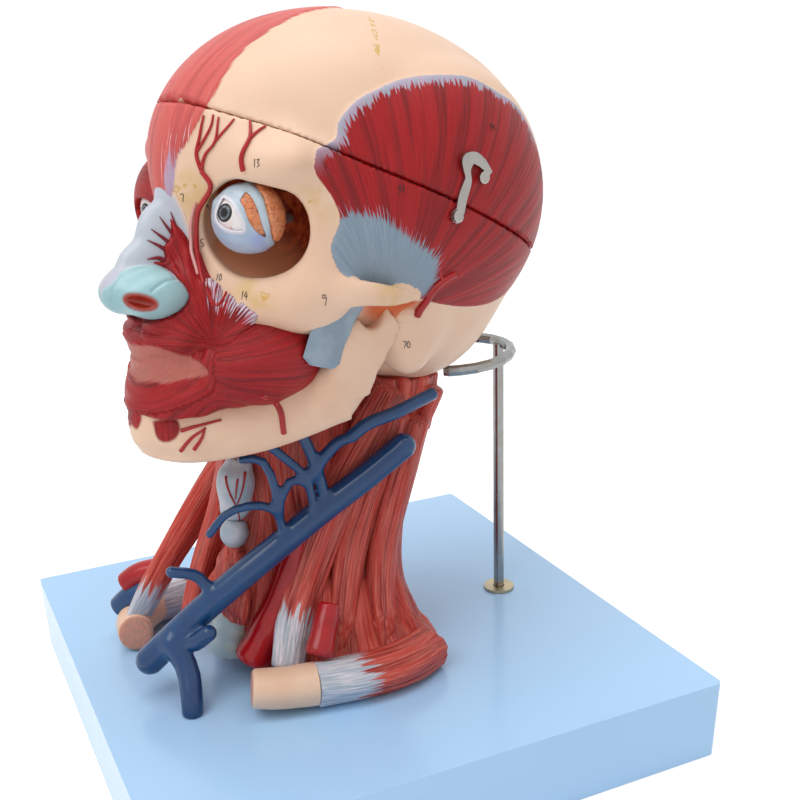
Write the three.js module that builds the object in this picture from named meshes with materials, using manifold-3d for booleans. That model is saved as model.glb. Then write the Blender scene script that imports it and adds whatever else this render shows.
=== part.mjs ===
// Anatomical head and neck model on a square stand.
// The origin is the middle of the stand's underside. The figure faces -Y in its own frame, with its own
// left at +X and its midline at x = 0, and it stands turned on the base.
import * as THREE from 'three';
import { mergeVertices } from 'three/addons/utils/BufferGeometryUtils.js';
import Module from 'manifold-3d';

const wasm = await Module();
wasm.setup();

// Sizes in millimetres. Tables whose names end in Shares hold shares of the sizes named beside them.

const gap = 0.3; // between pieces that meet
const overrun = 4; // how far a cutting body runs past what it cuts
const endShare = 0.35; // share of a step from a limb's end to its full size

const figure = {
  turn: 14, // degrees towards its own left
  x: 9,
  y: 13,
};

const base = {
  width: 280,
  depth: 277,
  height: 40,
  draft: 1.5, // each side leans in by this at the bottom
  corner: 3,
  innerCorner: 1,
  wall: 3,
  bossRadius: 6,
  bossDrop: 3,
};

const stand = {
  rodRadius: 2.9,
  footY: 95,
  ringRise: 144, // height of the ring's back above the base
  ringRadius: 30,
  ringTilt: -4, // degrees: it falls towards the neck
  ringSweep: 128, // degrees from the back to each end
  flangeRadius: 8.6,
  flangeThickness: 1.4,
  washerRadius: 7,
  washerThickness: 1.2,
  nutAcross: 11,
  nutHeight: 5,
  threadEnd: 3, // the rod's thread below the nut
};

// The neck's frame is its half width and half depth at the shoulders and its height from the base.
const neck = {
  halfWidth: 50,
  halfDepth: 50,
  height: 150,
  screwRadius: 2,
  screwHeadRadius: 4,
  screwHead: 2.4,
  screwDriveRadius: 3.2,
  screwPoint: 1,
  screwLength: 14,
  screwSpread: 22,
  screwForward: 8,
};

// The head's frame is measured from the middle of the braincase.
const head = {
  halfWidth: 75,
  halfLength: 100,
  halfHeight: 80,
  rise: 235, // from the base to the middle of the braincase
  blend: 12, // how softly the skull's lumps run together
  cutTilt: 26, // degrees: the cap's cut is high in front
  cutDrop: 3, // the cut crosses the midline this far under the middle
  cutGap: 0.4,
};

const orbit = {
  halfWidth: 24,
  halfDepth: 26,
  halfHeight: 22.5,
  yaw: 36, // degrees it looks outwards
};

const eye = {
  radius: 13,
  lidRadius: 15.4,
  pegRadius: 2.4,
  pegClearance: 0.35,
  pegDepth: 8,
  glandSize: 9,
  glandRise: 8, // from the eye's middle to the gland's
};

const nose = {
  nostrilWidth: 5.1,
  nostrilLength: 8,
  nostrilHeight: 5.5,
  blend: 5,
};

const face = { blend: 8 };

const jaw = {
  halfWidth: 50,
  length: 100,
  height: 60,
  chinReach: 122, // the chin's line in front of the head's middle
  rise: 128, // from the base to the lower edge
  bodyHalfHeight: 13.5,
  bodyHalfThickness: 6.5,
  ramusHalfWidth: 15,
  ramusHalfThickness: 4.2,
  condyleHalfWidth: 7.4,
  condyleRadius: 5.7,
};

const latch = {
  reach: 21.1, // from the pivot screw to the catch screw
  plate: 1.3,
  standoff: 1.3, // between the head's side and the plate
  eyeRadius: 3.3,
  screwRadius: 1.4,
  screwHeadRadius: 2.8,
  screwHead: 1.3,
  screwRim: 0.8, // height of the screw head's straight rim
  screwTopRadius: 2,
  screwDepth: 4.4,
  rise: 45, // degrees: how steeply the hook climbs towards the back
};

// Radii of the vessels
const vessel = {
  jugularRoot: 7,
  jugularTop: 6.1,
  jugularStub: 6.9,
  jugularBranch: 2.9,
  subclavianVein: 5.6,
  smallVein: 2.1,
  externalJugular: 3.1,
  carotidTop: 5.4,
  carotidRoot: 8.3,
  subclavian: 6.2,
  jawArtery: 1.5,
  templeArtery: 1.8,
  faceArtery: 1.25,
  twig: 0.8,
  taperShare: 0.9, // how much of its size a vein's branch keeps at its end
  twigTaperShare: 0.7,
};

const brain = { clearance: 1.6, settle: 1, split: 0.6 };

// Columns and rows of the moulded forms
const facets = {
  skull: [28, 20],
  hollow: [20, 12],
  face: [22, 16],
  nose: [16, 12],
  eye: [14, 10],
};

// Points

const V = (x, y, z) => new THREE.Vector3(x, y, z);
const up = V(0, 0, 1);
const headAt = ([x, y, z]) => V(
  x * head.halfWidth,
  y * head.halfLength,
  base.height + head.rise + z * head.halfHeight,
);
const neckAt = ([x, y, z]) => V(
  x * neck.halfWidth,
  y * neck.halfDepth,
  base.height + z * neck.height,
);
const beyondHead = 4 * head.halfLength; // a cutting body that is longer than the head
const jawAt = ([x, y, z]) => V(
  x * jaw.halfWidth,
  y * jaw.length - jaw.chinReach,
  base.height + jaw.rise + z * jaw.height,
);
const toStand = new THREE.Matrix4().makeRotationZ(THREE.MathUtils.degToRad(figure.turn));
toStand.setPosition(figure.x, figure.y, 0);
const toFigure = toStand.clone().invert();
const mirrored = ([x, ...rest]) => [-x, ...rest];
const radians = THREE.MathUtils.degToRad;

// Solids: every shape becomes a manifold, and is cut or joined as one.

function solidOf(geometry) {
  const bare = geometry.index ? geometry.toNonIndexed() : geometry.clone();
  const positions = new THREE.BufferGeometry();
  positions.setAttribute('position', bare.getAttribute('position'));
  const merged = mergeVertices(positions, 1e-4);
  const corners = merged.index.array;
  const triVerts = [];
  for (let i = 0; i < corners.length; i += 3) {
    const [a, b, c] = corners.slice(i, i + 3);
    if (a !== b && b !== c && c !== a) triVerts.push(a, b, c);
  }
  const vertProperties = Float32Array.from(merged.attributes.position.array);
  const build = (turned) => new wasm.Manifold(new wasm.Mesh({
    numProp: 3,
    vertProperties,
    triVerts: Uint32Array.from(turned),
  }));
  const solid = build(triVerts);
  return solid.volume() < 0 ? build(triVerts.reverse()) : solid;
}

const join = (first, ...others) => others.reduce((a, b) => a.add(b), first);
const cut = (first, ...others) => others.reduce((a, b) => a.subtract(b), first);

// The largest body of a solid, without the crumbs that a cut leaves.
function mainBody(solid) {
  const bodies = solid.decompose();
  return bodies.reduce((a, b) => (b.volume() > a.volume() ? b : a));
}

function geometryOf(solid) {
  const { vertProperties, triVerts } = solid.getMesh();
  const geometry = new THREE.BufferGeometry();
  geometry.setAttribute('position', new THREE.BufferAttribute(vertProperties, 3));
  geometry.setIndex(new THREE.BufferAttribute(triVerts, 1));
  return geometry;
}

function placed(geometry, at, turn = new THREE.Quaternion()) {
  const frame = new THREE.Matrix4().compose(at, turn, V(1, 1, 1));
  return solidOf(geometry.clone().applyMatrix4(frame));
}

function box(size, at, turn) {
  return placed(new THREE.BoxGeometry(size.x, size.y, size.z), at, turn);
}

function rod(radius, from, to, sides = 12, farRadius = radius) {
  const along = to.clone().sub(from);
  const shape = new THREE.CylinderGeometry(farRadius, radius, along.length(), sides);
  const turn = new THREE.Quaternion().setFromUnitVectors(V(0, 1, 0), along.normalize());
  return placed(shape, from.clone().add(to).multiplyScalar(1 / 2), turn);
}

function ball(half, at, columns = 16, rows = 10, turn) {
  const shape = new THREE.SphereGeometry(1, columns, rows).scale(half.x, half.y, half.z);
  return placed(shape, at, turn);
}

// A turned solid from [radius, height] steps, along a direction from a point.
function turned(steps, at, direction = up, sides = 10) {
  const profile = steps.map(([radius, height]) => new THREE.Vector2(radius, height));
  const turn = new THREE.Quaternion().setFromUnitVectors(V(0, 1, 0), direction);
  return placed(new THREE.LatheGeometry(profile, sides), at, turn);
}

// A closed skin over rings of points: every ring has as many points as the next.
function skin(rings) {
  const sides = rings[0].length;
  const middle = (ring) => ring.reduce((a, b) => a.add(b), V(0, 0, 0)).divideScalar(sides);
  const points = [...rings.flat(), middle(rings[0]), middle(rings.at(-1))];
  const index = [];
  const first = rings.length * sides;
  const last = (rings.length - 1) * sides;
  for (let k = 0; k < sides; k++) {
    const next = (k + 1) % sides;
    index.push(first, next, k, first + 1, last + k, last + next);
    for (let row = 0; row < last; row += sides) {
      index.push(row + k, row + next, row + sides + next);
      index.push(row + k, row + sides + next, row + sides + k);
    }
  }
  const geometry = new THREE.BufferGeometry().setFromPoints(points);
  geometry.setIndex(index);
  return solidOf(geometry);
}

// A limb of changing oval section through stations [point, wide, deep].
// The deep direction follows facing, and swell grows it all round and at both ends.
function limb(stations, { steps = 8, sides = 10, swell = 0, facing = V(1, 0, 0), round = 0.6 } = {}) {
  const path = new THREE.CatmullRomCurve3(stations.map(([point]) => point), false, 'centripetal');
  const last = stations.length - 1;
  const size = (t, which) => {
    const place = Math.min(t * last, last - 1e-9);
    const from = Math.floor(place);
    const share = THREE.MathUtils.smootherstep(place - from, 0, 1);
    return THREE.MathUtils.lerp(stations[from][which], stations[from + 1][which], share) + swell;
  };
  const ring = (t, shrink, shift) => {
    const tangent = path.getTangent(t);
    const deep = facing.clone().addScaledVector(tangent, -facing.dot(tangent)).normalize();
    const wide = tangent.clone().cross(deep);
    const centre = path.getPoint(t).addScaledVector(tangent, shift);
    return Array.from({ length: sides }, (_, k) => {
      const angle = (2 * Math.PI * k) / sides;
      return centre.clone()
        .addScaledVector(wide, Math.cos(angle) * size(t, 1) * shrink)
        .addScaledVector(deep, Math.sin(angle) * size(t, 2) * shrink);
    });
  };
  const rings = [ring(0, round, -swell)];
  const inset = endShare / steps;
  rings.push(ring(inset, 1, -swell));
  for (let step = 1; step < steps; step++) rings.push(ring(step / steps, 1, 0));
  rings.push(ring(1 - inset, 1, swell), ring(1, round, swell));
  return skin(rings);
}

// A vessel of round section along points, from one radius to another.
function vesselAlong(points, radius, endRadius = radius, options = {}) {
  const last = points.length - 1;
  const stations = points.map((point, k) => {
    const size = THREE.MathUtils.lerp(radius, endRadius, k / last);
    return [point, size, size];
  });
  return limb(stations, { sides: 8, steps: 2 * last + 2, facing: V(1, 0.2, 0.3), ...options });
}

// Forms: a form is a list of ovals [centre, half sizes], and its field is near zero on their soft union.

function ovals(shares, both = false) {
  const all = both ? [...shares, ...shares.map(mirrored)] : shares;
  return all.map(([x, y, z, a, b, c]) => ({
    centre: headAt([x, y, z]),
    half: V(a * head.halfWidth, b * head.halfLength, c * head.halfHeight),
  }));
}

function fieldOf(form, blend) {
  return (point) => {
    let value = Infinity;
    for (const { centre, half } of form) {
      const place = point.clone().sub(centre);
      const inner = place.clone().divide(half);
      const slope = inner.clone().divide(half).length() || 1;
      const length = inner.length();
      const distance = (length * (length - 1)) / slope;
      if (value === Infinity) {
        value = distance;
        continue;
      }
      const mix = Math.max(blend - Math.abs(value - distance), 0) / blend;
      value = Math.min(value, distance) - (mix * mix * blend) / 4;
    }
    return value;
  };
}

// How far along a direction from a centre the field comes to a level.
function reachOf(field, centre, direction, level, limit) {
  let low = 0;
  let high = limit;
  for (let step = 0; step < 30; step++) {
    const middle = (low + high) / 2;
    const value = field(centre.clone().addScaledVector(direction, middle));
    if (value < level) low = middle;
    else high = middle;
  }
  return (low + high) / 2;
}

// A form's solid: a sphere's points pushed out from a centre to the field's level.
function moulded(field, centre, level, columns, rows) {
  const sphere = new THREE.SphereGeometry(1, columns, rows);
  sphere.rotateX(Math.PI / 2);
  const corners = sphere.attributes.position;
  const limit = 2 * head.halfLength;
  for (let i = 0; i < corners.count; i++) {
    const direction = new THREE.Vector3().fromBufferAttribute(corners, i).normalize();
    const reach = reachOf(field, centre, direction, level, limit);
    const point = centre.clone().addScaledVector(direction, reach);
    corners.setXYZ(i, point.x, point.y, point.z);
  }
  return solidOf(sphere);
}

function outwards(field, point) {
  const step = head.halfWidth / 500;
  const along = (axis) => field(point.clone().addScaledVector(axis, step))
    - field(point.clone().addScaledVector(axis, -step));
  return V(along(V(1, 0, 0)), along(V(0, 1, 0)), along(up)).normalize();
}

// The nearest point at a height over a field's surface.
function settled(field, point, height = 0) {
  const place = point.clone();
  for (let step = 0; step < 12; step++) {
    place.addScaledVector(outwards(field, place), height - field(place));
  }
  return place;
}

// Skull: [x, y, z, half width, half length, half height], in shares of the head's frame.

const braincaseShares = [
  [0, 0.04, -0.09, 0.97, 0.94, 1.02],
  [0, -0.21, 0.23, 0.76, 0.82, 0.76],
  [0, 0.19, -0.63, 0.74, 0.43, 0.6],
  [0, -0.12, -0.62, 0.6, 0.55, 0.44],
  [0, -0.78, -0.55, 0.42, 0.26, 0.46],
  [0, -0.87, -0.02, 0.17, 0.14, 0.34],
];
const skullSideShares = [
  [0.61, 0.16, 0, 0.34, 0.51, 0.66],
  [0.45, -0.72, 0.24, 0.33, 0.15, 0.15],
  [0.62, -0.62, -0.47, 0.18, 0.19, 0.2],
  [0.4, -0.8, -0.48, 0.22, 0.13, 0.17],
  [0.66, -0.56, -0.1, 0.11, 0.1, 0.34],
  [0.66, -0.12, -0.74, 0.15, 0.13, 0.27],
];
const skullForm = [...ovals(braincaseShares), ...ovals(skullSideShares, true)];
const skullField = fieldOf(skullForm, head.blend);
const skullCentre = headAt([0, -0.16, -0.16]);

const archShares = [[0.72, -0.63, -0.45], [0.86, -0.51, -0.44], [0.9, -0.35, -0.48], [0.84, -0.19, -0.51]];
const archHalf = { height: 7, thickness: 3, backHeight: 3 };

function cheekArch(side, swell = 0) {
  const points = archShares.map(([x, y, z]) => headAt([side * x, y, z]));
  const stations = points.map((point, k) => [
    point,
    THREE.MathUtils.lerp(archHalf.height, archHalf.backHeight, k / (points.length - 1)),
    archHalf.thickness,
  ]);
  return limb(stations, { steps: 6, sides: 8, swell, facing: V(side, 0, 0), round: 0.7 });
}

function skullBody(swell = 0) {
  const shell = moulded(skullField, skullCentre, swell, ...facets.skull);
  return join(shell, cheekArch(1, swell), cheekArch(-1, swell));
}

// Brain space: the hollow that the cap opens.

const hollowShares = [
  [0, 0.18, -0.02, 0.88, 0.68, 0.84],
  [0, -0.22, 0.4, 0.64, 0.6, 0.46],
  [0, 0.26, -0.54, 0.6, 0.31, 0.38],
];
const hollowField = fieldOf(ovals(hollowShares), head.blend);
const hollowCentre = headAt([0, 0, 0.2]);
const hollow = (inset) => moulded(hollowField, hollowCentre, -inset, ...facets.hollow);

const cutTurn = new THREE.Quaternion().setFromAxisAngle(V(1, 0, 0), radians(-head.cutTilt));
const liftAxis = up.clone().applyQuaternion(cutTurn);
const cutPoint = V(0, 0, base.height + head.rise - head.cutDrop);

// All that lies on one side of the cap's cut, from half the gap short of it
function beyondCut(side) {
  const shift = liftAxis.clone().multiplyScalar((side * (beyondHead - head.cutGap)) / 2);
  return box(V(beyondHead, beyondHead, beyondHead), cutPoint.clone().add(shift), cutTurn);
}

// The hollow's outline at the cut, carried along the lift: what passes through the cut lies inside it.
function liftShaft(inset) {
  const sheet = box(V(beyondHead, beyondHead, head.cutGap), cutPoint, cutTurn);
  const slice = hollow(inset).intersect(sheet);
  const flat = new THREE.Matrix4().compose(cutPoint, cutTurn, V(1, 1, 1));
  const stretch = new THREE.Matrix4().makeScale(1, 1, beyondHead / head.cutGap);
  return slice.transform(flat.clone().multiply(stretch).multiply(flat.invert()).elements);
}

// Eyes

const orbitShares = [0.41, -0.75, -0.09];
const eyeShares = [0.44, -0.83, -0.04];
const pegShares = [0.24, -0.52, -0.1];

function sideTurn(side) {
  return new THREE.Quaternion().setFromAxisAngle(up, side * radians(orbit.yaw));
}

function orbitHollow(side) {
  const [x, y, z] = orbitShares;
  const half = V(orbit.halfWidth, orbit.halfDepth, orbit.halfHeight);
  return ball(half, headAt([side * x, y, z]), ...facets.eye, sideTurn(side));
}

const leftEyeCentre = headAt(eyeShares);
const rightEyeCentre = headAt([-0.44, -0.83, -0.06]);
const pegFoot = headAt(pegShares);
const pegAxis = leftEyeCentre.clone().sub(pegFoot).normalize();

function pegTo(depth, swell = 0) {
  const tip = leftEyeCentre.clone().addScaledVector(pegAxis, -eye.radius + depth + swell);
  const foot = pegFoot.clone().addScaledVector(pegAxis, -swell);
  return rod(eye.pegRadius + swell, foot, tip, 12);
}

const lookShares = [0.2, -0.97, 0.12];
const leftLook = V(...lookShares).normalize();

// An almond-shaped window along the eye's look.
const almondShares = { width: 0.66, height: 0.36 };

function almond(centre, look, size) {
  const turn = new THREE.Quaternion().setFromUnitVectors(V(0, -1, 0), look);
  const at = centre.clone().addScaledVector(look, eye.lidRadius);
  return ball(V(size * almondShares.width, size, size * almondShares.height), at, 12, 8, turn);
}

function eyeball() {
  const whole = ball(V(eye.radius, eye.radius, eye.radius), leftEyeCentre, ...facets.eye);
  return cut(whole, pegTo(eye.pegDepth, eye.pegClearance));
}

function lidShell() {
  const outer = eye.lidRadius;
  const inner = eye.radius + gap;
  const shell = cut(
    ball(V(outer, outer, outer), leftEyeCentre, ...facets.eye),
    ball(V(inner, inner, inner), leftEyeCentre, ...facets.eye),
    almond(leftEyeCentre, leftLook, eye.radius),
  );
  const turn = new THREE.Quaternion().setFromUnitVectors(V(0, 1, 0), leftLook);
  const size = 2 * outer + overrun;
  const behind = leftEyeCentre.clone().addScaledVector(leftLook, -size / 2 - eye.pegClearance * 4);
  return mainBody(cut(shell, box(V(size, size, size), behind, turn)));
}

const glandShares = [0.78, 0.02, 0.55];

function lacrimalGland() {
  const away = V(...glandShares).normalize();
  const half = V(eye.glandSize, eye.glandSize, eye.glandSize);
  const lump = ball(half, leftEyeCentre.clone().addScaledVector(away, eye.glandRise), 12, 8);
  const cover = eye.lidRadius + gap;
  return mainBody(cut(lump, ball(V(cover, cover, cover), leftEyeCentre, ...facets.eye)));
}

// The way along which the eye is drawn off its peg
function eyeWay() {
  const far = leftEyeCentre.clone().addScaledVector(pegAxis, 2 * eye.lidRadius);
  return rod(eye.lidRadius + eye.pegClearance, leftEyeCentre, far, 18);
}

const skullWhole = cut(skullBody(), orbitHollow(1), orbitHollow(-1), eyeWay());

// Latches: hooks on the lower head reach over a catch screw on the cap.

const latchShares = [0.97, -0.05, -0.09];

function latchFrame(side) {
  const [x, y, z] = latchShares;
  const pivot = settled(skullField, headAt([side * x, y, z]));
  const first = outwards(skullField, pivot);
  const toCatch = V(0, Math.cos(radians(latch.rise)), Math.sin(radians(latch.rise)));
  toCatch.addScaledVector(first, -toCatch.dot(first)).normalize();
  const far = settled(skullField, pivot.clone().addScaledVector(toCatch, latch.reach));
  const normal = first.add(outwards(skullField, far)).normalize();
  toCatch.addScaledVector(normal, -toCatch.dot(normal)).normalize();
  const across = toCatch.clone().cross(normal).multiplyScalar(-side);
  return { pivot, normal, toCatch, across, side };
}

// Points of the hook's outline: [share of the reach, degrees from the catch towards the face].
const hookFaceShares = [
  [0.4, 37], [0.62, 30], [0.78, 27], [0.92, 32], [1.1, 35.5], [1.26, 31.5], [1.35, 20], [1.32, 8],
];
const hookInnerShares = [[1.12, -5], [1.12, 4], [1.12, 12], [1.11, 20]];
const hookTipShare = 1.25;
const hookMouthShares = [[0.96, 21], [0.78, 14], [0.62, 10], [0.4, 4]];
const hookEyeDegrees = { from: 150, sweep: 250 };

function hook(frame) {
  const at = ([share, degrees]) => new THREE.Vector2(
    Math.sin(radians(degrees)) * share * latch.reach,
    Math.cos(radians(degrees)) * share * latch.reach,
  );
  const outline = new THREE.Shape();
  const start = radians(hookEyeDegrees.from);
  outline.absarc(0, 0, latch.eyeRadius, start, start + radians(hookEyeDegrees.sweep), false);
  outline.splineThru(hookFaceShares.map(at));
  outline.lineTo(...at([hookTipShare, hookInnerShares[0][1]]).toArray());
  for (const share of hookInnerShares) outline.lineTo(...at(share).toArray());
  outline.splineThru(hookMouthShares.map(at));
  outline.closePath();
  const shape = new THREE.ExtrudeGeometry(outline, {
    depth: latch.plate,
    bevelEnabled: false,
    curveSegments: 3,
  });
  return solidOf(shape.applyMatrix4(plateMatrix(frame, latch.standoff)));
}

// The plate's frame: x across towards the face, y towards the catch, z away from the head.
function plateMatrix({ pivot, normal, toCatch, across }, height) {
  const matrix = new THREE.Matrix4().makeBasis(across, toCatch, normal);
  return matrix.setPosition(pivot.clone().addScaledVector(normal, height));
}

function latchScrew(frame, share, swell = 0) {
  const { pivot, normal, toCatch } = frame;
  const foot = pivot.clone().addScaledVector(toCatch, share * latch.reach);
  const seat = latch.standoff + latch.plate + gap;
  const radius = latch.screwRadius + swell;
  const headRadius = latch.screwHeadRadius + swell;
  return turned([
    [0, -latch.screwDepth - swell],
    [radius, -latch.screwDepth - swell],
    [radius, seat],
    [headRadius, seat],
    [headRadius, seat + latch.screwRim],
    [latch.screwTopRadius + swell, seat + latch.screwHead],
    [0, seat + latch.screwHead],
  ], foot, normal);
}

// Jaw

const jawBodyShares = [
  [0.95, 0.75, 0.42],
  [0.82, 0.56, 0.33],
  [0.58, 0.36, 0.23],
  [0.3, 0.15, 0.2],
  [0, 0.05, 0.24],
];
const ramusShares = [
  [0.97, 0.75, 0.36],
  [1.01, 0.76, 0.52],
  [1.05, 0.8, 0.71],
  [1.09, 0.88, 0.86],
  [1.11, 0.96, 0.95],
];
const ramusWidthShares = [0.9, 0.95, 0.95, 0.8, 0.55];
const condyleShares = [1.12, 1.02, 0.96];

function jawRamus(side, swell) {
  const stations = ramusShares.map(([x, y, z], k) => [
    jawAt([side * x, y, z]),
    jaw.ramusHalfWidth * ramusWidthShares[k],
    jaw.ramusHalfThickness,
  ]);
  const plate = limb(stations, { steps: 6, sides: 10, swell, facing: V(side, 0, 0) });
  const [x, y, z] = condyleShares;
  const half = V(jaw.condyleHalfWidth, jaw.condyleRadius, jaw.condyleRadius).addScalar(swell);
  return join(plate, ball(half, jawAt([side * x, y, z]), 8, 6));
}

function jawBody(swell = 0) {
  const across = [...jawBodyShares, ...jawBodyShares.slice(0, -1).toReversed().map(mirrored)];
  const stations = across.map((share) => [
    jawAt(share),
    jaw.bodyHalfThickness,
    jaw.bodyHalfHeight,
  ]);
  const body = limb(stations, { steps: 16, sides: 8, swell, facing: up });
  return join(body, jawRamus(1, swell), jawRamus(-1, swell));
}

const skullKeepOut = cut(skullBody(gap), orbitHollow(1), orbitHollow(-1));
const mandible = mainBody(cut(jawBody(), skullKeepOut));
const mandibleKeepOut = jawBody(gap);

// Nose and face muscles

const noseShares = [
  [0, -1.24, -0.4, 0.15, 0.11, 0.12],
  [0.15, -1.13, -0.42, 0.12, 0.16, 0.12],
  [-0.15, -1.13, -0.42, 0.12, 0.16, 0.12],
  [0, -1.16, -0.29, 0.1, 0.1, 0.12],
  [0, -1.06, -0.2, 0.14, 0.12, 0.24],
  [0, -0.94, -0.03, 0.15, 0.1, 0.2],
];
const noseField = fieldOf(ovals(noseShares), nose.blend);
const noseCentre = headAt([0, -1.12, -0.34]);
const noseBody = (swell) => moulded(noseField, noseCentre, swell, ...facets.nose);
const nostrilShares = [0.12, -1.2, -0.54];

function noseCartilage() {
  const nostrils = [1, -1].map((side) => {
    const [x, y, z] = nostrilShares;
    const half = V(nose.nostrilWidth, nose.nostrilLength, nose.nostrilHeight);
    return ball(half, headAt([side * x, y, z]), 10, 6);
  });
  return mainBody(cut(noseBody(0), skullKeepOut, ...nostrils));
}

const faceShares = [
  [0, -1.08, -0.65, 0.34, 0.18, 0.14],
  [0, -1.08, -0.9, 0.32, 0.19, 0.17],
];
const faceSideShares = [
  [0.2, -0.96, -0.42, 0.16, 0.12, 0.3],
  [0.44, -0.79, -0.79, 0.25, 0.3, 0.25],
  [0.24, -0.99, -0.92, 0.2, 0.18, 0.16],
];
const faceForm = [...ovals(faceShares), ...ovals(faceSideShares, true)];
const faceField = fieldOf(faceForm, face.blend);
const faceCentre = headAt([0, -0.94, -0.78]);
const faceKeepOut = moulded(faceField, faceCentre, gap, ...facets.face);

function facialMuscles() {
  const whole = moulded(faceField, faceCentre, 0, ...facets.face);
  return mainBody(cut(whole, skullKeepOut, mandibleKeepOut, noseBody(gap)));
}

const rightEyeShares = [[-0.43, -0.8, -0.04, 0.32, 0.17, 0.3]];

function rightEyeMuscle() {
  const field = fieldOf(ovals(rightEyeShares), face.blend);
  const whole = moulded(field, headAt(rightEyeShares[0].slice(0, 3)), 0, ...facets.eye);
  const socket = eye.radius + gap;
  return mainBody(cut(
    whole,
    cut(skullBody(gap), orbitHollow(-1)),
    ball(V(socket, socket, socket), rightEyeCentre, ...facets.eye),
    almond(rightEyeCentre, V(0, -1, 0), eye.radius * 1.05),
    noseBody(gap),
    mandibleKeepOut,
    faceKeepOut,
  ));
}

// The strip of tendon behind each cheek arch.
const tendonShares = [[0.76, -0.44, -0.37], [0.74, -0.55, -0.54], [0.72, -0.58, -0.66], [0.7, -0.63, -0.84]];
const tendonHalf = { width: 11, thickness: 2.3 };

function temporalTendon(side) {
  const stations = tendonShares.map(([x, y, z]) => [
    headAt([side * x, y, z]),
    tendonHalf.width,
    tendonHalf.thickness,
  ]);
  const strip = limb(stations, { steps: 6, sides: 10, facing: V(side, 0, 0) });
  return mainBody(cut(strip, skullKeepOut, mandibleKeepOut, faceKeepOut));
}

// Arteries that lie on the bone

const browRouteShares = [
  [0.34, -0.97, -0.49], [0.24, -0.975, -0.35], [0.19, -0.97, -0.18], [0.23, -0.97, -0.01],
  [0.34, -0.95, 0.13], [0.3, -0.97, 0.21],
];
const browTwigShares = [
  [[0.3, -0.97, 0.21], [0.28, -0.98, 0.29], [0.285, -0.96, 0.37], [0.28, -0.93, 0.48]],
  [[0.28, -0.98, 0.3], [0.31, -0.95, 0.36], [0.33, -0.92, 0.43], [0.32, -0.9, 0.48]],
  [[0.3, -0.97, 0.21], [0.33, -0.96, 0.29], [0.37, -0.93, 0.35], [0.35, -0.89, 0.47]],
  [[0.38, -0.92, 0.37], [0.41, -0.87, 0.43], [0.42, -0.85, 0.46]],
];
const orbitRouteShares = [
  [0.54, -0.88, 0.21], [0.535, -0.885, 0.28], [0.54, -0.84, 0.37], [0.51, -0.82, 0.42], [0.49, -0.81, 0.45],
];
const orbitTwigShares = [[0.54, -0.85, 0.36], [0.55, -0.8, 0.4], [0.56, -0.77, 0.42]];
const templeRouteShares = [
  [0.955, -0.02, -0.417],
  [0.93, -0.08, -0.454],
  [0.905, -0.12, -0.5],
  [0.871, -0.16, -0.57],
  [0.842, -0.185, -0.64],
];

function overBone(shares, radius) {
  return shares.map((share) => settled(skullField, headAt(share), radius + gap));
}

function twig(shares, radius) {
  const end = radius * vessel.twigTaperShare;
  return vesselAlong(overBone(shares, radius), radius, end, { sides: 6, steps: 5 });
}

function browArtery() {
  const trunk = vesselAlong(
    overBone(browRouteShares, vessel.faceArtery),
    vessel.faceArtery,
    vessel.twig,
    { sides: 6, steps: 8 },
  );
  const twigs = browTwigShares.map((shares) => twig(shares, vessel.twig));
  return mainBody(cut(join(trunk, ...twigs), faceKeepOut, skullKeepOut));
}

function orbitArtery() {
  const trunk = vesselAlong(
    overBone(orbitRouteShares, vessel.faceArtery),
    vessel.faceArtery,
    vessel.twig,
    { sides: 6, steps: 6 },
  );
  return mainBody(cut(join(trunk, twig(orbitTwigShares, vessel.twig)), skullKeepOut));
}

const jawArteryShares = [[0.95, 0.37, 0.6], [0.94, 0.39, 0.45], [0.9, 0.41, 0.3], [0.83, 0.46, 0.12]];

function facialArtery() {
  const points = jawArteryShares.map(jawAt);
  const whole = vesselAlong(points, vessel.jawArtery, vessel.faceArtery, { sides: 6, steps: 6 });
  return mainBody(cut(whole, mandibleKeepOut, faceKeepOut));
}

function templeArtery() {
  const radius = vessel.templeArtery;
  const whole = vesselAlong(overBone(templeRouteShares, radius), radius, radius, { sides: 6, steps: 5 });
  return mainBody(cut(whole, skullKeepOut, mandibleKeepOut));
}

// Neck: stations are [x, y, z, wide, deep], the sizes too in shares of the neck's half width.

function neckLimb(shares, options = {}) {
  const stations = shares.map(([x, y, z, wide, deep]) => [
    neckAt([x, y, z]),
    wide * neck.halfWidth,
    deep * neck.halfWidth,
  ]);
  return limb(stations, { steps: 7, sides: 8, ...options });
}

const coreShares = [
  [-0.26, -0.31, 0.004, 0.9, 0.82],
  [-0.27, -0.33, 0.08, 0.74, 0.72],
  [-0.27, -0.33, 0.22, 0.66, 0.7],
  [-0.23, -0.35, 0.42, 0.6, 0.7],
  [-0.17, -0.12, 0.66, 0.62, 0.74],
  [-0.16, 0.08, 0.85, 0.68, 0.78],
  [-0.15, 0.14, 0.96, 0.7, 0.74],
];
const sternomastoidShares = {
  left: [
    [0.68, -0.2, 0.953, 0.16, 0.11],
    [0.51, -0.43, 0.78, 0.18, 0.12],
    [0.36, -0.72, 0.577, 0.2, 0.13],
    [0.29, -0.99, 0.374, 0.2, 0.13],
    [0.34, -1.2, 0.237, 0.18, 0.12],
    [0.48, -1.38, 0.121, 0.16, 0.1],
  ],
  right: [
    [-0.98, -0.36, 0.97, 0.16, 0.11],
    [-1.08, -0.78, 0.73, 0.18, 0.13],
    [-1.23, -1.3, 0.47, 0.2, 0.14],
    [-1.31, -1.8, 0.25, 0.18, 0.12],
    [-1.4, -2.04, 0.13, 0.16, 0.1],
  ],
};
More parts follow.
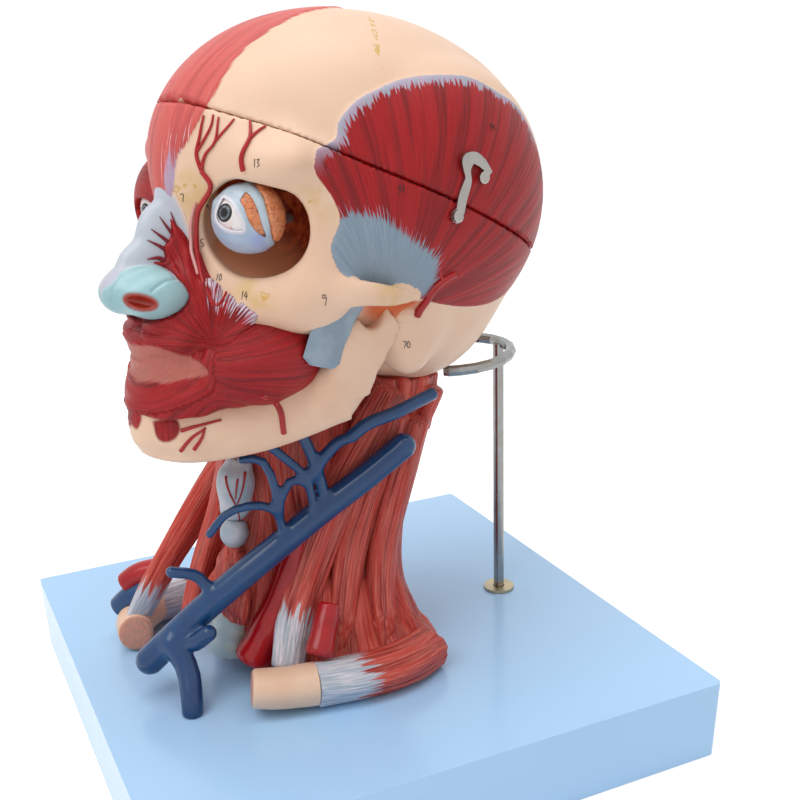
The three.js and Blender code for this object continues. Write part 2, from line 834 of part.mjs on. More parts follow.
const scaleneFrontShares = [
  [0.66, -0.14, 0.868, 0.15, 0.12],
  [0.49, -0.32, 0.646, 0.17, 0.13],
  [0.4, -0.54, 0.434, 0.18, 0.14],
  [0.46, -0.7, 0.235, 0.18, 0.14],
  [0.67, -0.85, 0.115, 0.2, 0.12],
];
const scaleneBackShares = [
  [0.68, 0.11, 0.834, 0.16, 0.12],
  [0.55, -0.08, 0.593, 0.17, 0.14],
  [0.49, -0.23, 0.392, 0.18, 0.14],
  [0.57, -0.31, 0.214, 0.18, 0.14],
  [0.78, -0.39, 0.117, 0.22, 0.12],
];
const trapeziusShares = [
  [0.4, 0.53, 0.9, 0.24, 0.14],
  [0.27, 0.19, 0.66, 0.24, 0.15],
  [0.26, -0.01, 0.44, 0.26, 0.17],
  [0.32, -0.07, 0.24, 0.3, 0.2],
  [0.68, 0.08, 0.06, 0.4, 0.2],
];
const strapShares = {
  left: [
    [-0.25, -1.24, 0.74, 0.14, 0.09],
    [-0.14, -1.22, 0.52, 0.16, 0.1],
    [-0.08, -1.3, 0.32, 0.16, 0.1],
    [-0.07, -1.43, 0.13, 0.15, 0.1],
  ],
  right: [
    [-0.78, -1.25, 0.93, 0.13, 0.09],
    [-0.73, -1.2, 0.74, 0.16, 0.1],
    [-0.74, -1.32, 0.54, 0.18, 0.11],
    [-0.78, -1.58, 0.32, 0.18, 0.11],
    [-0.79, -1.78, 0.13, 0.16, 0.1],
  ],
};
const clavicleShares = {
  left: [[0.56, -1.89, 0.09, 0.2, 0.18], [0.7, -1.64, 0.08, 0.21, 0.19], [0.82, -1.36, 0.078, 0.2, 0.18]],
  right: [
    [-1.24, -2.16, 0.072, 0.18, 0.2],
    [-1.53, -2.01, 0.068, 0.19, 0.21],
    [-1.72, -1.76, 0.065, 0.16, 0.2],
  ],
};
const shoulderShares = {
  left: [
    [0.82, -1.34, 0.07, 0.22, 0.2],
    [0.96, -0.92, 0.066, 0.24, 0.2],
    [1.02, -0.47, 0.062, 0.26, 0.2],
    [0.93, 0.01, 0.058, 0.24, 0.19],
  ],
  right: [
    [-1.73, -1.6, 0.066, 0.2, 0.18],
    [-1.7, -1.15, 0.064, 0.23, 0.2],
    [-1.58, -0.7, 0.062, 0.25, 0.2],
    [-1.36, -0.26, 0.058, 0.24, 0.19],
  ],
};
const neckMiddleShare = -0.22;
const acrossNeck = (rows) => rows.map(([x, ...rest]) => [2 * neckMiddleShare - x, ...rest]);

const sternomastoid = {
  left: (swell) => neckLimb(sternomastoidShares.left, { swell, facing: V(0.9, -0.45, 0) }),
  right: (swell) => neckLimb(sternomastoidShares.right, { swell, facing: V(-1, -0.5, 0) }),
};
const bothSides = (shares, facing) => ({
  left: (swell) => neckLimb(shares, { swell, facing }),
  right: (swell) => neckLimb(acrossNeck(shares), { swell, facing: V(-facing.x, facing.y, 0) }),
});
const scaleneFront = bothSides(scaleneFrontShares, V(1, 0, 0));
const scaleneBack = bothSides(scaleneBackShares, V(1, 0.3, 0));
const trapezius = bothSides(trapeziusShares, V(0.5, 1, 0));
const strap = {
  left: (swell) => neckLimb(strapShares.left, { swell, facing: V(0.4, -1, 0) }),
  right: (swell) => neckLimb(strapShares.right, { swell, facing: V(-0.5, -1, 0) }),
};
const clavicle = {
  left: (swell) => neckLimb(clavicleShares.left, { swell, steps: 5, facing: up, round: 0.72 }),
  right: (swell) => neckLimb(clavicleShares.right, { swell, steps: 5, facing: up, round: 0.72 }),
};
const shoulder = {
  left: (swell) => neckLimb(shoulderShares.left, { swell, facing: up, round: 0.75 }),
  right: (swell) => neckLimb(shoulderShares.right, { swell, facing: up, round: 0.75 }),
};

// Windpipe and voice box

const voiceShares = {
  trachea: [
    [-0.24, -1.43, 0.425, 0.15, 0.15],
    [-0.26, -1.47, 0.26, 0.165, 0.165],
    [-0.37, -1.51, 0.061, 0.17, 0.17],
  ],
  thyroid: [
    [-0.21, -1.38, 0.74, 0.15, 0.1],
    [-0.22, -1.45, 0.661, 0.26, 0.2],
    [-0.23, -1.47, 0.563, 0.2, 0.18],
    [-0.22, -1.45, 0.523, 0.15, 0.13],
  ],
  cricoid: [
    [-0.2, -1.46, 0.518, 0.16, 0.15],
    [-0.19, -1.5, 0.474, 0.19, 0.18],
    [-0.22, -1.45, 0.43, 0.15, 0.15],
  ],
};
const front = V(0.2, -1, 0);
const voice = {
  trachea: (swell) => neckLimb(voiceShares.trachea, { swell, sides: 12, facing: front, round: 0.9 }),
  thyroid: (swell) => neckLimb(voiceShares.thyroid, { swell, steps: 6, facing: front }),
  cricoid: (swell) => neckLimb(voiceShares.cricoid, { swell, steps: 5, facing: front, round: 0.8 }),
};

// Veins and arteries of the neck, each a tree of tubes joined to one body

const jugularTrunkShares = [
  [-0.38, -2.43, 0.127],
  [-0.15, -2.1, 0.252],
  [0.09, -1.75, 0.373],
  [0.31, -1.32, 0.492],
  [0.55, -0.88, 0.615],
  [0.71, -0.56, 0.694],
  [0.88, -0.25, 0.783],
];
const jugularBranchShares = {
  subclavianVein: [
    [[-0.18, -2.28, 0.193], [-0.01, -2.24, 0.127], [0.15, -2.3, 0.05], [0.18, -2.32, 0.012]],
  ],
  jugularBranch: [
    [[-0.18, -2.16, 0.215], [0.01, -2.15, 0.215], [0.13, -2.06, 0.253]],
    [[0, -1.9, 0.343], [-0.08, -2.02, 0.413], [-0.21, -2.21, 0.432]],
    [[0.54, -0.92, 0.605], [0.56, -1.04, 0.758], [0.54, -1.17, 0.877]],
    [[0.55, -1.07, 0.739], [0.69, -0.87, 0.828], [0.78, -0.77, 0.847]],
  ],
  smallVein: [
    [[0.36, -1.28, 0.502], [0.39, -1.37, 0.61], [0.41, -1.41, 0.72], [0.34, -1.49, 0.79], [0.26, -1.64, 0.8]],
    [[0.39, -1.37, 0.62], [0.3, -1.54, 0.645], [0.15, -1.77, 0.625], [0.06, -1.92, 0.561]],
    [[0.4, -1.37, 0.64], [0.48, -1.26, 0.719], [0.54, -1.13, 0.699], [0.53, -1.07, 0.62]],
    [[0.43, -1.43, 0.838], [0.51, -1.27, 0.778], [0.54, -1.11, 0.719]],
  ],
};
const externalJugularShares = [
  [0.76, -0.79, 0.842],
  [0.83, -0.63, 0.88],
  [0.9, -0.34, 0.902],
  [0.92, 0.12, 0.934],
];
const rightJugularShares = [[-1.41, -1.77, 0.2], [-1.59, -1.99, 0.15], [-1.7, -2.11, 0.1]];
const carotidShares = [[0.23, -1.05, 0.5], [0.17, -1.22, 0.32], [0.1, -1.43, 0.16], [0.05, -1.54, 0.08]];
const subclavianShares = {
  left: [[0.68, -1.08, 0.26], [0.76, -1.18, 0.17], [0.8, -1.25, 0.235]],
  right: [[-1.32, -1.65, 0.26], [-1.57, -1.9, 0.23], [-1.68, -2.03, 0.19]],
};

function jugularTree(swell = 0) {
  const trunk = vesselAlong(
    jugularTrunkShares.map(neckAt),
    vessel.jugularRoot,
    vessel.jugularTop,
    { swell, steps: 8, round: 0.78 },
  );
  const branches = Object.entries(jugularBranchShares).flatMap(([size, routes]) => (
    routes.map((route) => {
      const radius = vessel[size];
      const shape = { swell, sides: 6, steps: route.length, round: 0.8 };
      return vesselAlong(route.map(neckAt), radius, radius * vessel.taperShare, shape);
    })
  ));
  return join(trunk, ...branches);
}

const externalJugular = (swell) => vesselAlong(
  externalJugularShares.map(neckAt),
  vessel.externalJugular,
  vessel.externalJugular,
  { swell },
);
const rightJugular = (swell) => vesselAlong(
  rightJugularShares.map(neckAt),
  vessel.jugularStub,
  vessel.jugularStub,
  { swell, sides: 10, steps: 5 },
);
const carotid = (swell) => vesselAlong(
  carotidShares.map(neckAt),
  vessel.carotidTop,
  vessel.carotidRoot,
  { swell, sides: 10 },
);

function subclavianOf(shares) {
  const radius = vessel.subclavian;
  return (swell) => vesselAlong(shares.map(neckAt), radius, radius, { swell, sides: 10 });
}

// Ring and rod

const ringBack = V(0, stand.footY + stand.rodRadius, base.height + stand.ringRise);
const ringTurn = new THREE.Quaternion().setFromAxisAngle(V(1, 0, 0), radians(-stand.ringTilt));

function supportRing(swell = 0) {
  const points = [];
  const stops = 10;
  for (let k = 0; k <= stops; k++) {
    const angle = radians(stand.ringSweep) * ((2 * k) / stops - 1);
    const place = V(Math.sin(angle), Math.cos(angle) - 1, 0).multiplyScalar(stand.ringRadius);
    points.push(place.applyQuaternion(ringTurn).add(ringBack));
  }
  const radius = stand.rodRadius;
  const stations = points.map((point) => [point, radius, radius]);
  return limb(stations, { steps: 16, sides: 8, swell, facing: up, round: 0.8 });
}

const nutSeat = base.height - base.wall - stand.washerThickness - gap;

function supportPost() {
  const foot = nutSeat - stand.nutHeight - gap - stand.threadEnd;
  const low = V(0, stand.footY, foot);
  const high = V(0, stand.footY, ringBack.z);
  return mainBody(cut(rod(stand.rodRadius, low, high, 14), supportRing(gap)));
}

function washer(outer, thickness, z) {
  const inner = stand.rodRadius + gap;
  return turned([
    [inner, z], [outer, z], [outer, z + thickness], [inner, z + thickness], [inner, z],
  ], V(0, stand.footY, 0), up, 16);
}

function nut() {
  const radius = stand.nutAcross / Math.sqrt(3);
  const low = V(0, stand.footY, nutSeat - stand.nutHeight - gap);
  const high = V(0, stand.footY, nutSeat - gap);
  const bore = stand.rodRadius + gap;
  const reach = up.clone().multiplyScalar(overrun);
  return cut(rod(radius, low, high, 6), rod(bore, low.clone().sub(reach), high.clone().add(reach), 14));
}

// Base: a moulded tray with leaning walls

function tray() {
  const roundedPlate = (inset, from, to) => {
    const x = base.width / 2 - inset;
    const y = base.depth / 2 - inset;
    const corner = Math.max(base.corner - inset, base.innerCorner);
    const outline = new THREE.Shape();
    outline.absarc(x - corner, y - corner, corner, 0, Math.PI / 2);
    outline.absarc(corner - x, y - corner, corner, Math.PI / 2, Math.PI);
    outline.absarc(corner - x, corner - y, corner, Math.PI, Math.PI * 1.5);
    outline.absarc(x - corner, corner - y, corner, Math.PI * 1.5, Math.PI * 2);
    const shape = new THREE.ExtrudeGeometry(outline, {
      depth: to - from,
      bevelEnabled: false,
      curveSegments: 3,
    }).translate(0, 0, from);
    const corners = shape.attributes.position;
    for (let i = 0; i < corners.count; i++) {
      const lean = 1 - (base.draft / (base.width / 2)) * (1 - corners.getZ(i) / base.height);
      corners.setXY(i, corners.getX(i) * lean, corners.getY(i) * lean);
    }
    return solidOf(shape);
  };
  const top = base.height - base.wall;
  const shell = cut(roundedPlate(0, 0, base.height), roundedPlate(base.wall, -overrun, top));
  const bosses = screwPlaces().map((place) => rod(
    base.bossRadius,
    place.clone().setZ(top - base.bossDrop),
    place.clone().setZ(top + base.wall / 2),
    12,
  ));
  const holes = screwPlaces().map((place) => rod(
    neck.screwRadius + gap,
    place.clone().setZ(0),
    place.clone().setZ(base.height + overrun),
    10,
  ));
  const postHole = rod(
    stand.rodRadius + gap,
    V(0, stand.footY, 0),
    V(0, stand.footY, base.height + overrun),
    14,
  );
  return cut(join(shell, ...bosses), ...holes, postHole);
}

function screwPlaces() {
  return [-1, 1].map((side) => V(side * neck.screwSpread, -neck.screwForward, 0));
}

function neckScrew(place, swell = 0) {
  const seat = base.height - base.wall - base.bossDrop - gap;
  const radius = neck.screwRadius + swell;
  return turned([
    [0, seat - neck.screwHead],
    [neck.screwDriveRadius, seat - neck.screwHead],
    [neck.screwHeadRadius, seat],
    [radius, seat],
    [radius, seat + neck.screwLength + swell],
    [0, seat + neck.screwLength + neck.screwPoint + swell],
  ], place);
}

// Assembly: what is worked out first keeps its form, and what follows is cut back from it by the gap.

const floor = box(
  V(2 * base.width, 2 * base.width, base.height),
  V(0, 0, base.height / 2 + gap),
);
const vesselForms = {
  left_jugular_vein: jugularTree,
  left_external_jugular: externalJugular,
  right_jugular_stub: rightJugular,
  left_carotid_artery: carotid,
  left_subclavian_artery: subclavianOf(subclavianShares.left),
  right_subclavian_artery: subclavianOf(subclavianShares.right),
};
const neckForms = {
  left_clavicle: clavicle.left,
  right_clavicle: clavicle.right,
  left_shoulder_muscle: shoulder.left,
  right_shoulder_muscle: shoulder.right,
  thyroid_cartilage: voice.thyroid,
  cricoid_cartilage: voice.cricoid,
  trachea: voice.trachea,
  left_sternomastoid: sternomastoid.left,
  right_sternomastoid: sternomastoid.right,
  left_scalene_front: scaleneFront.left,
  right_scalene_front: scaleneFront.right,
  left_scalene_back: scaleneBack.left,
  right_scalene_back: scaleneBack.right,
  left_trapezius: trapezius.left,
  right_trapezius: trapezius.right,
  left_strap_muscle: strap.left,
  right_strap_muscle: strap.right,
};

const pieces = new Map();
const ringKeepOut = supportRing(gap).transform(toFigure.elements);
const keepOuts = [floor, skullKeepOut, mandibleKeepOut, faceKeepOut, ringKeepOut];

for (const [name, form] of Object.entries({ ...vesselForms, ...neckForms })) {
  pieces.set(name, mainBody(cut(form(0), ...keepOuts)));
  keepOuts.push(form(gap));
}
const screws = screwPlaces();
pieces.set('neck_core', mainBody(cut(
  neckLimb(coreShares, { steps: 7, sides: 12, facing: V(0, 1, 0), round: 0.85 }),
  ...keepOuts,
  ...screws.map((place) => neckScrew(place, gap).transform(toFigure.elements)),
)));

const leftLatch = latchFrame(1);
const rightLatch = latchFrame(-1);
const latchHoles = [leftLatch, rightLatch].map((frame) => ({
  pivot: latchScrew(frame, 0, gap),
  catch: latchScrew(frame, 1, gap),
}));
const headHollow = hollow(0);
pieces.set('skull', mainBody(cut(
  skullWhole,
  headHollow,
  beyondCut(1),
  pegTo(0, gap),
  ...latchHoles.map(({ pivot }) => pivot),
)));
pieces.set('skull_cap', mainBody(cut(
  skullBody(),
  headHollow,
  beyondCut(-1),
  ...latchHoles.map((holes) => holes.catch),
)));
pieces.set('mandible', mandible);
pieces.set('facial_muscles', facialMuscles());
pieces.set('nose_cartilage', noseCartilage());
pieces.set('left_temporal_tendon', temporalTendon(1));
pieces.set('right_temporal_tendon', temporalTendon(-1));
pieces.set('left_brow_artery', browArtery());
pieces.set('left_orbit_artery', orbitArtery());
pieces.set('left_facial_artery', facialArtery());
pieces.set('left_temple_artery', templeArtery());
pieces.set('right_eye_muscle', rightEyeMuscle());
pieces.set('left_eyeball', eyeball());
pieces.set('left_lid_shell', lidShell());
pieces.set('left_lacrimal_gland', lacrimalGland());
pieces.set('left_eye_peg', pegTo(eye.pegDepth));
pieces.set('right_eyeball', ball(V(eye.radius, eye.radius, eye.radius), rightEyeCentre, ...facets.eye));
pieces.set('left_hook', cut(hook(leftLatch), latchHoles[0].pivot));
pieces.set('right_hook', cut(hook(rightLatch), latchHoles[1].pivot));
pieces.set('left_hook_screw', latchScrew(leftLatch, 0));
pieces.set('right_hook_screw', latchScrew(rightLatch, 0));
pieces.set('left_catch_screw', latchScrew(leftLatch, 1));
pieces.set('right_catch_screw', latchScrew(rightLatch, 1));

const standPieces = new Map([
  ['support_post', supportPost()],
  ['support_ring', supportRing()],
  ['post_flange', washer(stand.flangeRadius, stand.flangeThickness, base.height + gap)],
  ['post_washer', washer(stand.washerRadius, stand.washerThickness, nutSeat)],
  ['post_nut', nut()],
  ['left_neck_screw', neckScrew(screws[1])],
  ['right_neck_screw', neckScrew(screws[0])],
  ['base_box', tray()],
]);

// Brain: hemispheres, cerebellum and stem, settled on the floor of the hollow

const cerebellumShares = [0, 0.28, -0.6, 0.62, 0.36, 0.37];
const stemShares = [[0, 0.06, -0.4, 0.2, 0.18], [0, 0.02, -0.6, 0.16, 0.15], [0, 0.02, -0.78, 0.11, 0.1]];

function cerebellum(swell = 0) {
  const [{ centre, half }] = ovals([cerebellumShares]);
  return ball(half.addScalar(swell), centre, 14, 8);
}

function brainStem(swell = 0) {
  const stations = stemShares.map(([x, y, z, wide, deep]) => [
    headAt([x, y, z]),
    wide * head.halfWidth,
    deep * head.halfWidth,
  ]);
  return limb(stations, { steps: 6, swell, facing: V(0, 1, 0) });
}

// One side of the gap between the hemispheres
function beyondMiddle(side) {
  const at = headAt([0, 0, 0]).setX((side * (beyondHead + brain.split)) / 2);
  return box(V(beyondHead, beyondHead, beyondHead), at);
}

const brainSeat = liftAxis.clone().multiplyScalar(-brain.settle);
const brainWhole = hollow(brain.clearance)
  .translate(brainSeat.toArray())
  .intersect(liftShaft(brain.clearance));
const cerebrum = cut(brainWhole, cerebellum(brain.split), brainStem(brain.split));
pieces.set('left_hemisphere', mainBody(cerebrum.intersect(beyondMiddle(1))));
pieces.set('right_hemisphere', mainBody(cerebrum.intersect(beyondMiddle(-1))));
pieces.set('cerebellum', mainBody(cut(cerebellum().intersect(brainWhole), brainStem(brain.split))));
pieces.set('brain_stem', mainBody(brainStem().intersect(brainWhole)));

// Finishes

const finish = (color, roughness = 0.45, metalness = 0) => (
  new THREE.MeshStandardMaterial({ color, roughness, metalness })
);
const bone = finish('#efd6bd');
const muscle = finish('#a92c34');
const vein = finish('#234f80');
const artery = finish('#b3151d');
const cartilage = finish('#a9cfd3');
const steel = finish('#b9b7b1', 0.3, 1);
const blue = finish('#badcfb', 0.3);
const tendon = finish('#9fb0be');
const eyeWhite = finish('#ecebe6', 0.25);
const brainPink = finish('#e0b5a4');
const finishes = {
  base_box: blue,
  skull: bone,
  skull_cap: bone,
  mandible: bone,
  left_clavicle: bone,
  right_clavicle: bone,
  nose_cartilage: cartilage,
  thyroid_cartilage: cartilage,
  cricoid_cartilage: cartilage,
  trachea: cartilage,
  left_eyeball: eyeWhite,
  right_eyeball: eyeWhite,
  left_lid_shell: tendon,
  left_temporal_tendon: tendon,
  right_temporal_tendon: tendon,
  left_eye_peg: tendon,
  left_lacrimal_gland: finish('#d88860'),
  left_jugular_vein: vein,
  left_external_jugular: vein,
  right_jugular_stub: vein,
  left_hemisphere: brainPink,
  right_hemisphere: brainPink,
  cerebellum: brainPink,
  brain_stem: brainPink,
};

function finishOf(name) {
  if (finishes[name]) return finishes[name];
  if (/artery/.test(name)) return artery;
  if (/screw|hook|post|ring/.test(name)) return steel;
  return muscle;
}

function groupOf(solids) {
  const group = new THREE.Group();
  for (const [name, solid] of solids) {
    const mesh = new THREE.Mesh(geometryOf(solid), finishOf(name));
    mesh.name = name;
    group.add(mesh);
  }
  return group;
}

const headModel = new THREE.Group();
const headFigure = groupOf(pieces);
headFigure.applyMatrix4(toStand);
headModel.add(headFigure, groupOf(standPieces));

export default headModel;
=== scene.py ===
import math

import bpy
import numpy as np
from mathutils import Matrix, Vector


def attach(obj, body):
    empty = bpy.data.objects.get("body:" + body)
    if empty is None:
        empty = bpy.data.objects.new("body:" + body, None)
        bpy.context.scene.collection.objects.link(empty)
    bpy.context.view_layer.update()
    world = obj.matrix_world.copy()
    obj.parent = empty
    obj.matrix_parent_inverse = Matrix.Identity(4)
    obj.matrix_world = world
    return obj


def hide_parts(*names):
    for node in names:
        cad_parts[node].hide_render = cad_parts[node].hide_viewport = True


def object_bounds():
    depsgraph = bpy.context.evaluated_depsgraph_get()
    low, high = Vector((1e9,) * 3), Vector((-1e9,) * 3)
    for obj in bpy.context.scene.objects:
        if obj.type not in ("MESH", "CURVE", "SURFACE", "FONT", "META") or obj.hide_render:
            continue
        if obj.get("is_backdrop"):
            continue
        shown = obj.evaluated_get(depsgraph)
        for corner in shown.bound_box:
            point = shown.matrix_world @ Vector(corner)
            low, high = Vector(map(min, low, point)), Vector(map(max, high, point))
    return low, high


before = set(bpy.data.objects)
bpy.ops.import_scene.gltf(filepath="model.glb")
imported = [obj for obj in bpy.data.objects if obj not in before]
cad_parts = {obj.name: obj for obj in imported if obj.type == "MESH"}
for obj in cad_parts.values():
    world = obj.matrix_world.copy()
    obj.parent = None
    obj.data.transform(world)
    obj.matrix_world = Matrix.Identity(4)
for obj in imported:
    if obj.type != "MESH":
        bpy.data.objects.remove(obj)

import openvdb
from mathutils import Matrix, Vector

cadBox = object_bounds()

# Forms are worked out in millimetres in the figure's own frame: it faces -y with its left at +x.
figure = {"turn": 14.0, "x": 9.0, "y": 13.0}
head = {"width": 75.0, "length": 100.0, "height": 80.0, "z": 275.0, "blend": 12.0,
        "cutTilt": 26.0, "cutZ": 272.0, "cutGap": 0.4}
neck = {"width": 50.0, "height": 150.0, "z": 40.0}
standTop = 40.3  # just over the box, where whatever stands on it ends
jaw = {"width": 50.0, "length": 100.0, "height": 60.0, "chinY": -122.0, "z": 168.0}
headScale = np.array([head["width"], head["length"], head["height"]])


def headAt(rows):
    return np.atleast_2d(rows)[:, :3] * headScale + [0, 0, head["z"]]


def neckAt(rows):
    return np.atleast_2d(rows)[:, :3] * [neck["width"], neck["width"], neck["height"]] + [0, 0, neck["z"]]


def jawAt(rows):
    rows = np.atleast_2d(rows)[:, :3]
    return rows * [jaw["width"], jaw["length"], jaw["height"]] + [0, jaw["chinY"], jaw["z"]]


def toStand(points):
    turn = math.radians(figure["turn"])
    x, y, z = np.asarray(points, float).T
    placed = [x * math.cos(turn) - y * math.sin(turn) + figure["x"],
              x * math.sin(turn) + y * math.cos(turn) + figure["y"], z]
    return np.stack(placed, 1) / 1000


def unit(v):
    v = np.asarray(v, float)
    return v / np.maximum(np.linalg.norm(v, axis=-1, keepdims=True), 1e-9)

# Soft forms

def ovals(rows, both=False):
    rows = list(rows) + ([[-r[0], *r[1:]] for r in rows] if both else [])
    return [(headAt([r])[0], np.array(r[3:]) * headScale) for r in rows]


def ovalDistance(points, centre, half):
    inner = (points - centre) / half
    length = np.linalg.norm(inner, axis=1)
    return length * (length - 1) / np.maximum(np.linalg.norm(inner / half, axis=1), 1e-6)


def softUnion(a, b, blend):
    mix = np.maximum(blend - np.abs(a - b), 0) / blend
    return np.minimum(a, b) - mix * mix * blend / 4


def softCut(a, b, blend):
    return -softUnion(-a, b, blend)


def ovalField(form, blend):
    def field(points):
        value = ovalDistance(points, *form[0])
        for centre, half in form[1:]:
            value = softUnion(value, ovalDistance(points, centre, half), blend)
        return value
    return field


# Centripetal curve through points, at count even steps of its parameter
def curvePoints(points, count):
    p = np.asarray(points, float)
    p = np.vstack([2 * p[0] - p[1], p, 2 * p[-1] - p[-2]])
    last = len(p) - 3
    out = []
    for t in np.linspace(0, last, count):
        k = min(int(t), last - 1)
        w = t - k
        a, b, c, d = p[k:k + 4]
        da, db, dc = [max(np.linalg.norm(q - r), 1e-4) ** 0.5 for q, r in ((b, a), (c, b), (d, c))]
        m = ((b - a) / da - (c - a) / (da + db) + (c - b) / db) * db
        n = ((c - b) / db - (d - b) / (db + dc) + (d - c) / dc) * db
        out.append(b + m * w + (-3 * b + 3 * c - 2 * m - n) * w ** 2 + (2 * b - 2 * c + m + n) * w ** 3)
    return np.array(out)


def alongSizes(sizes, count):
    sizes = np.asarray(sizes, float)
    t = np.linspace(0, len(sizes) - 1, count)
    k = np.minimum(t.astype(int), len(sizes) - 2)
    w = t - k
    w = w ** 3 * (w * (w * 6 - 15) + 10)
    if sizes.ndim > 1:
        w = w[:, None]
    return sizes[k] * (1 - w) + sizes[k + 1] * w


def tubeField(points, radii, count=30):
    line = curvePoints(points, count)
    thick = np.interp(np.linspace(0, 1, count), np.linspace(0, 1, len(radii)), radii)

    def field(query):
        best = np.full(len(query), 1e3)
        for k in range(count - 1):
            a, step = line[k], line[k + 1] - line[k]
            share = np.clip((query - a) @ step / max(step @ step, 1e-9), 0, 1)
            away = np.linalg.norm(query - a - share[:, None] * step, axis=1)
            best = np.minimum(best, away - thick[k] - share * (thick[k + 1] - thick[k]))
        return best
    return field

# Meshes

def newPiece(name, points, faces, body="figure", smooth=True, placed=True):
    mesh = bpy.data.meshes.new(name)
    mesh.from_pydata(toStand(points) if placed else np.asarray(points), [], faces)
    mesh.update()
    piece = bpy.data.objects.new(name, mesh)
    bpy.context.scene.collection.objects.link(piece)
    if smooth:
        mesh.shade_smooth()
    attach(piece, body)
    return piece


def paint(piece, name, values):
    values = np.asarray(values, np.float32)
    kind = "FLOAT" if values.ndim == 1 else "FLOAT_VECTOR"
    attribute = piece.data.attributes.new(name, kind, "POINT")
    attribute.data.foreach_set("value" if kind == "FLOAT" else "vector", values.ravel())


farOutside = -50.0  # stands for nowhere near a painted region


def paintFleshOnly(piece, names=("sinew", "bare")):
    for name in names:
        paint(piece, name, np.full(len(piece.data.vertices), farOutside))


slopeStep = 0.2


def slope(field, points):
    out = np.empty_like(points)
    for axis in range(3):
        shift = np.zeros(3)
        shift[axis] = slopeStep
        out[:, axis] = (field(points + shift) - field(points - shift)) / (2 * slopeStep)
    return out


def settle(field, points, height=0.0, times=2):
    for _ in range(times):
        lean = slope(field, points)
        points = points - lean * ((field(points) - height) / np.maximum((lean ** 2).sum(1), 0.05))[:, None]
    return points


# Which blocks between the corners of a rough grid come near the zero surface
def nearBlocks(rough, reach):
    near = np.zeros([n - 1 for n in rough.shape], bool)
    for i in (0, 1):
        for j in (0, 1):
            for k in (0, 1):
                corner = rough[i:rough.shape[0] - 1 + i, j:rough.shape[1] - 1 + j, k:rough.shape[2] - 1 + k]
                near |= np.abs(corner) < reach
    return near


block = 4  # grid steps along the side of a block


# Points and faces of a field's zero surface, worked out only in the blocks near it
def meshOf(field, low, high, step):
    low = np.asarray(low, float)
    size = block * step
    count = [int((b - a) / size) + 2 for a, b in zip(low, high)]
    axes = [low[k] + size * np.arange(count[k] + 1) for k in range(3)]
    corners = np.stack(np.meshgrid(*axes, indexing="ij"), -1)
    rough = np.concatenate([field(row.reshape(-1, 3)) for row in corners]).reshape(corners.shape[:3])
    blocks = np.argwhere(nearBlocks(rough, 1.8 * size))
    values = np.sign(rough[:-1, :-1, :-1]).astype(np.float32) * 3 * step
    for axis in range(3):
        values = values.repeat(block, axis)
    inner = np.stack(np.meshgrid(*[np.arange(block)] * 3, indexing="ij"), -1).reshape(-1, 3)
    for part in np.array_split(blocks, max(1, len(blocks) // 2000)):
        at = (part[:, None] * block + inner).reshape(-1, 3)
        values[tuple(at.T)] = field(low + at * step)
    grid = openvdb.FloatGrid(3 * step)
    grid.copyFromArray(np.clip(values, -3 * step, 3 * step).astype(np.float32))
    points, triangles, quads = grid.convertToPolygons(isovalue=0.0, adaptivity=0.0)
    points = points * step + low
    faces = [list(map(int, f)) for f in quads] + [list(map(int, f)) for f in triangles]
    return points, faces


def fieldPiece(name, field, low, high, step, body="figure", polish=2):
    points, faces = meshOf(field, low, high, step)
    points = settle(field, points, times=polish)
    sample = np.array(faces[0][:3])
    middle = points[sample].mean(0)
    normal = np.cross(points[sample[1]] - points[sample[0]], points[sample[2]] - points[sample[0]])
    if normal @ slope(field, middle[None])[0] < 0:
        faces = [f[::-1] for f in faces]
    print(name, len(points), "points")
    return newPiece(name, points, faces, body), points


endRings = 4


# Rings of an oval limb through stations [point, wide, deep], with rounded ends
def tubeRings(stations, steps, facing, roundness):
    points = curvePoints([s[0] for s in stations], steps + 1)
    sizes = alongSizes([[s[1], s[2]] for s in stations], steps + 1)
    tangent = unit(np.gradient(points, axis=0))
    facing = np.asarray(facing, float)
    deep = unit(facing - (tangent @ facing)[:, None] * tangent)
    wide = np.cross(tangent, deep)
    along = np.concatenate([[0], np.cumsum(np.linalg.norm(np.diff(points, axis=0), axis=1))])
    rings, lengths = [], []

    def add(k, shrink, shift):
        rings.append((points[k] + tangent[k] * shift, wide[k] * sizes[k, 0] * shrink,
                      deep[k] * sizes[k, 1] * shrink))
        lengths.append(along[k] + shift)
    rounds = roundness if isinstance(roundness, tuple) else (roundness, roundness)
    caps = [[r + (1 - r) * math.sin(math.pi / 2 * k / endRings) for k in range(endRings)] for r in rounds]
    reach = sizes[[0, -1]].min(1) * [0.02 if r == 1 else 0.3 for r in rounds]
    for k in range(endRings):
        add(0, caps[0][k], reach[0] * (k / endRings) ** 2)
    for k in range(1, steps):
        if reach[0] < along[k] < along[-1] - reach[1]:
            add(k, 1, 0)
    for k in reversed(range(endRings)):
        add(steps, caps[1][k], -reach[1] * (k / endRings) ** 2)
    return rings, np.array(lengths)


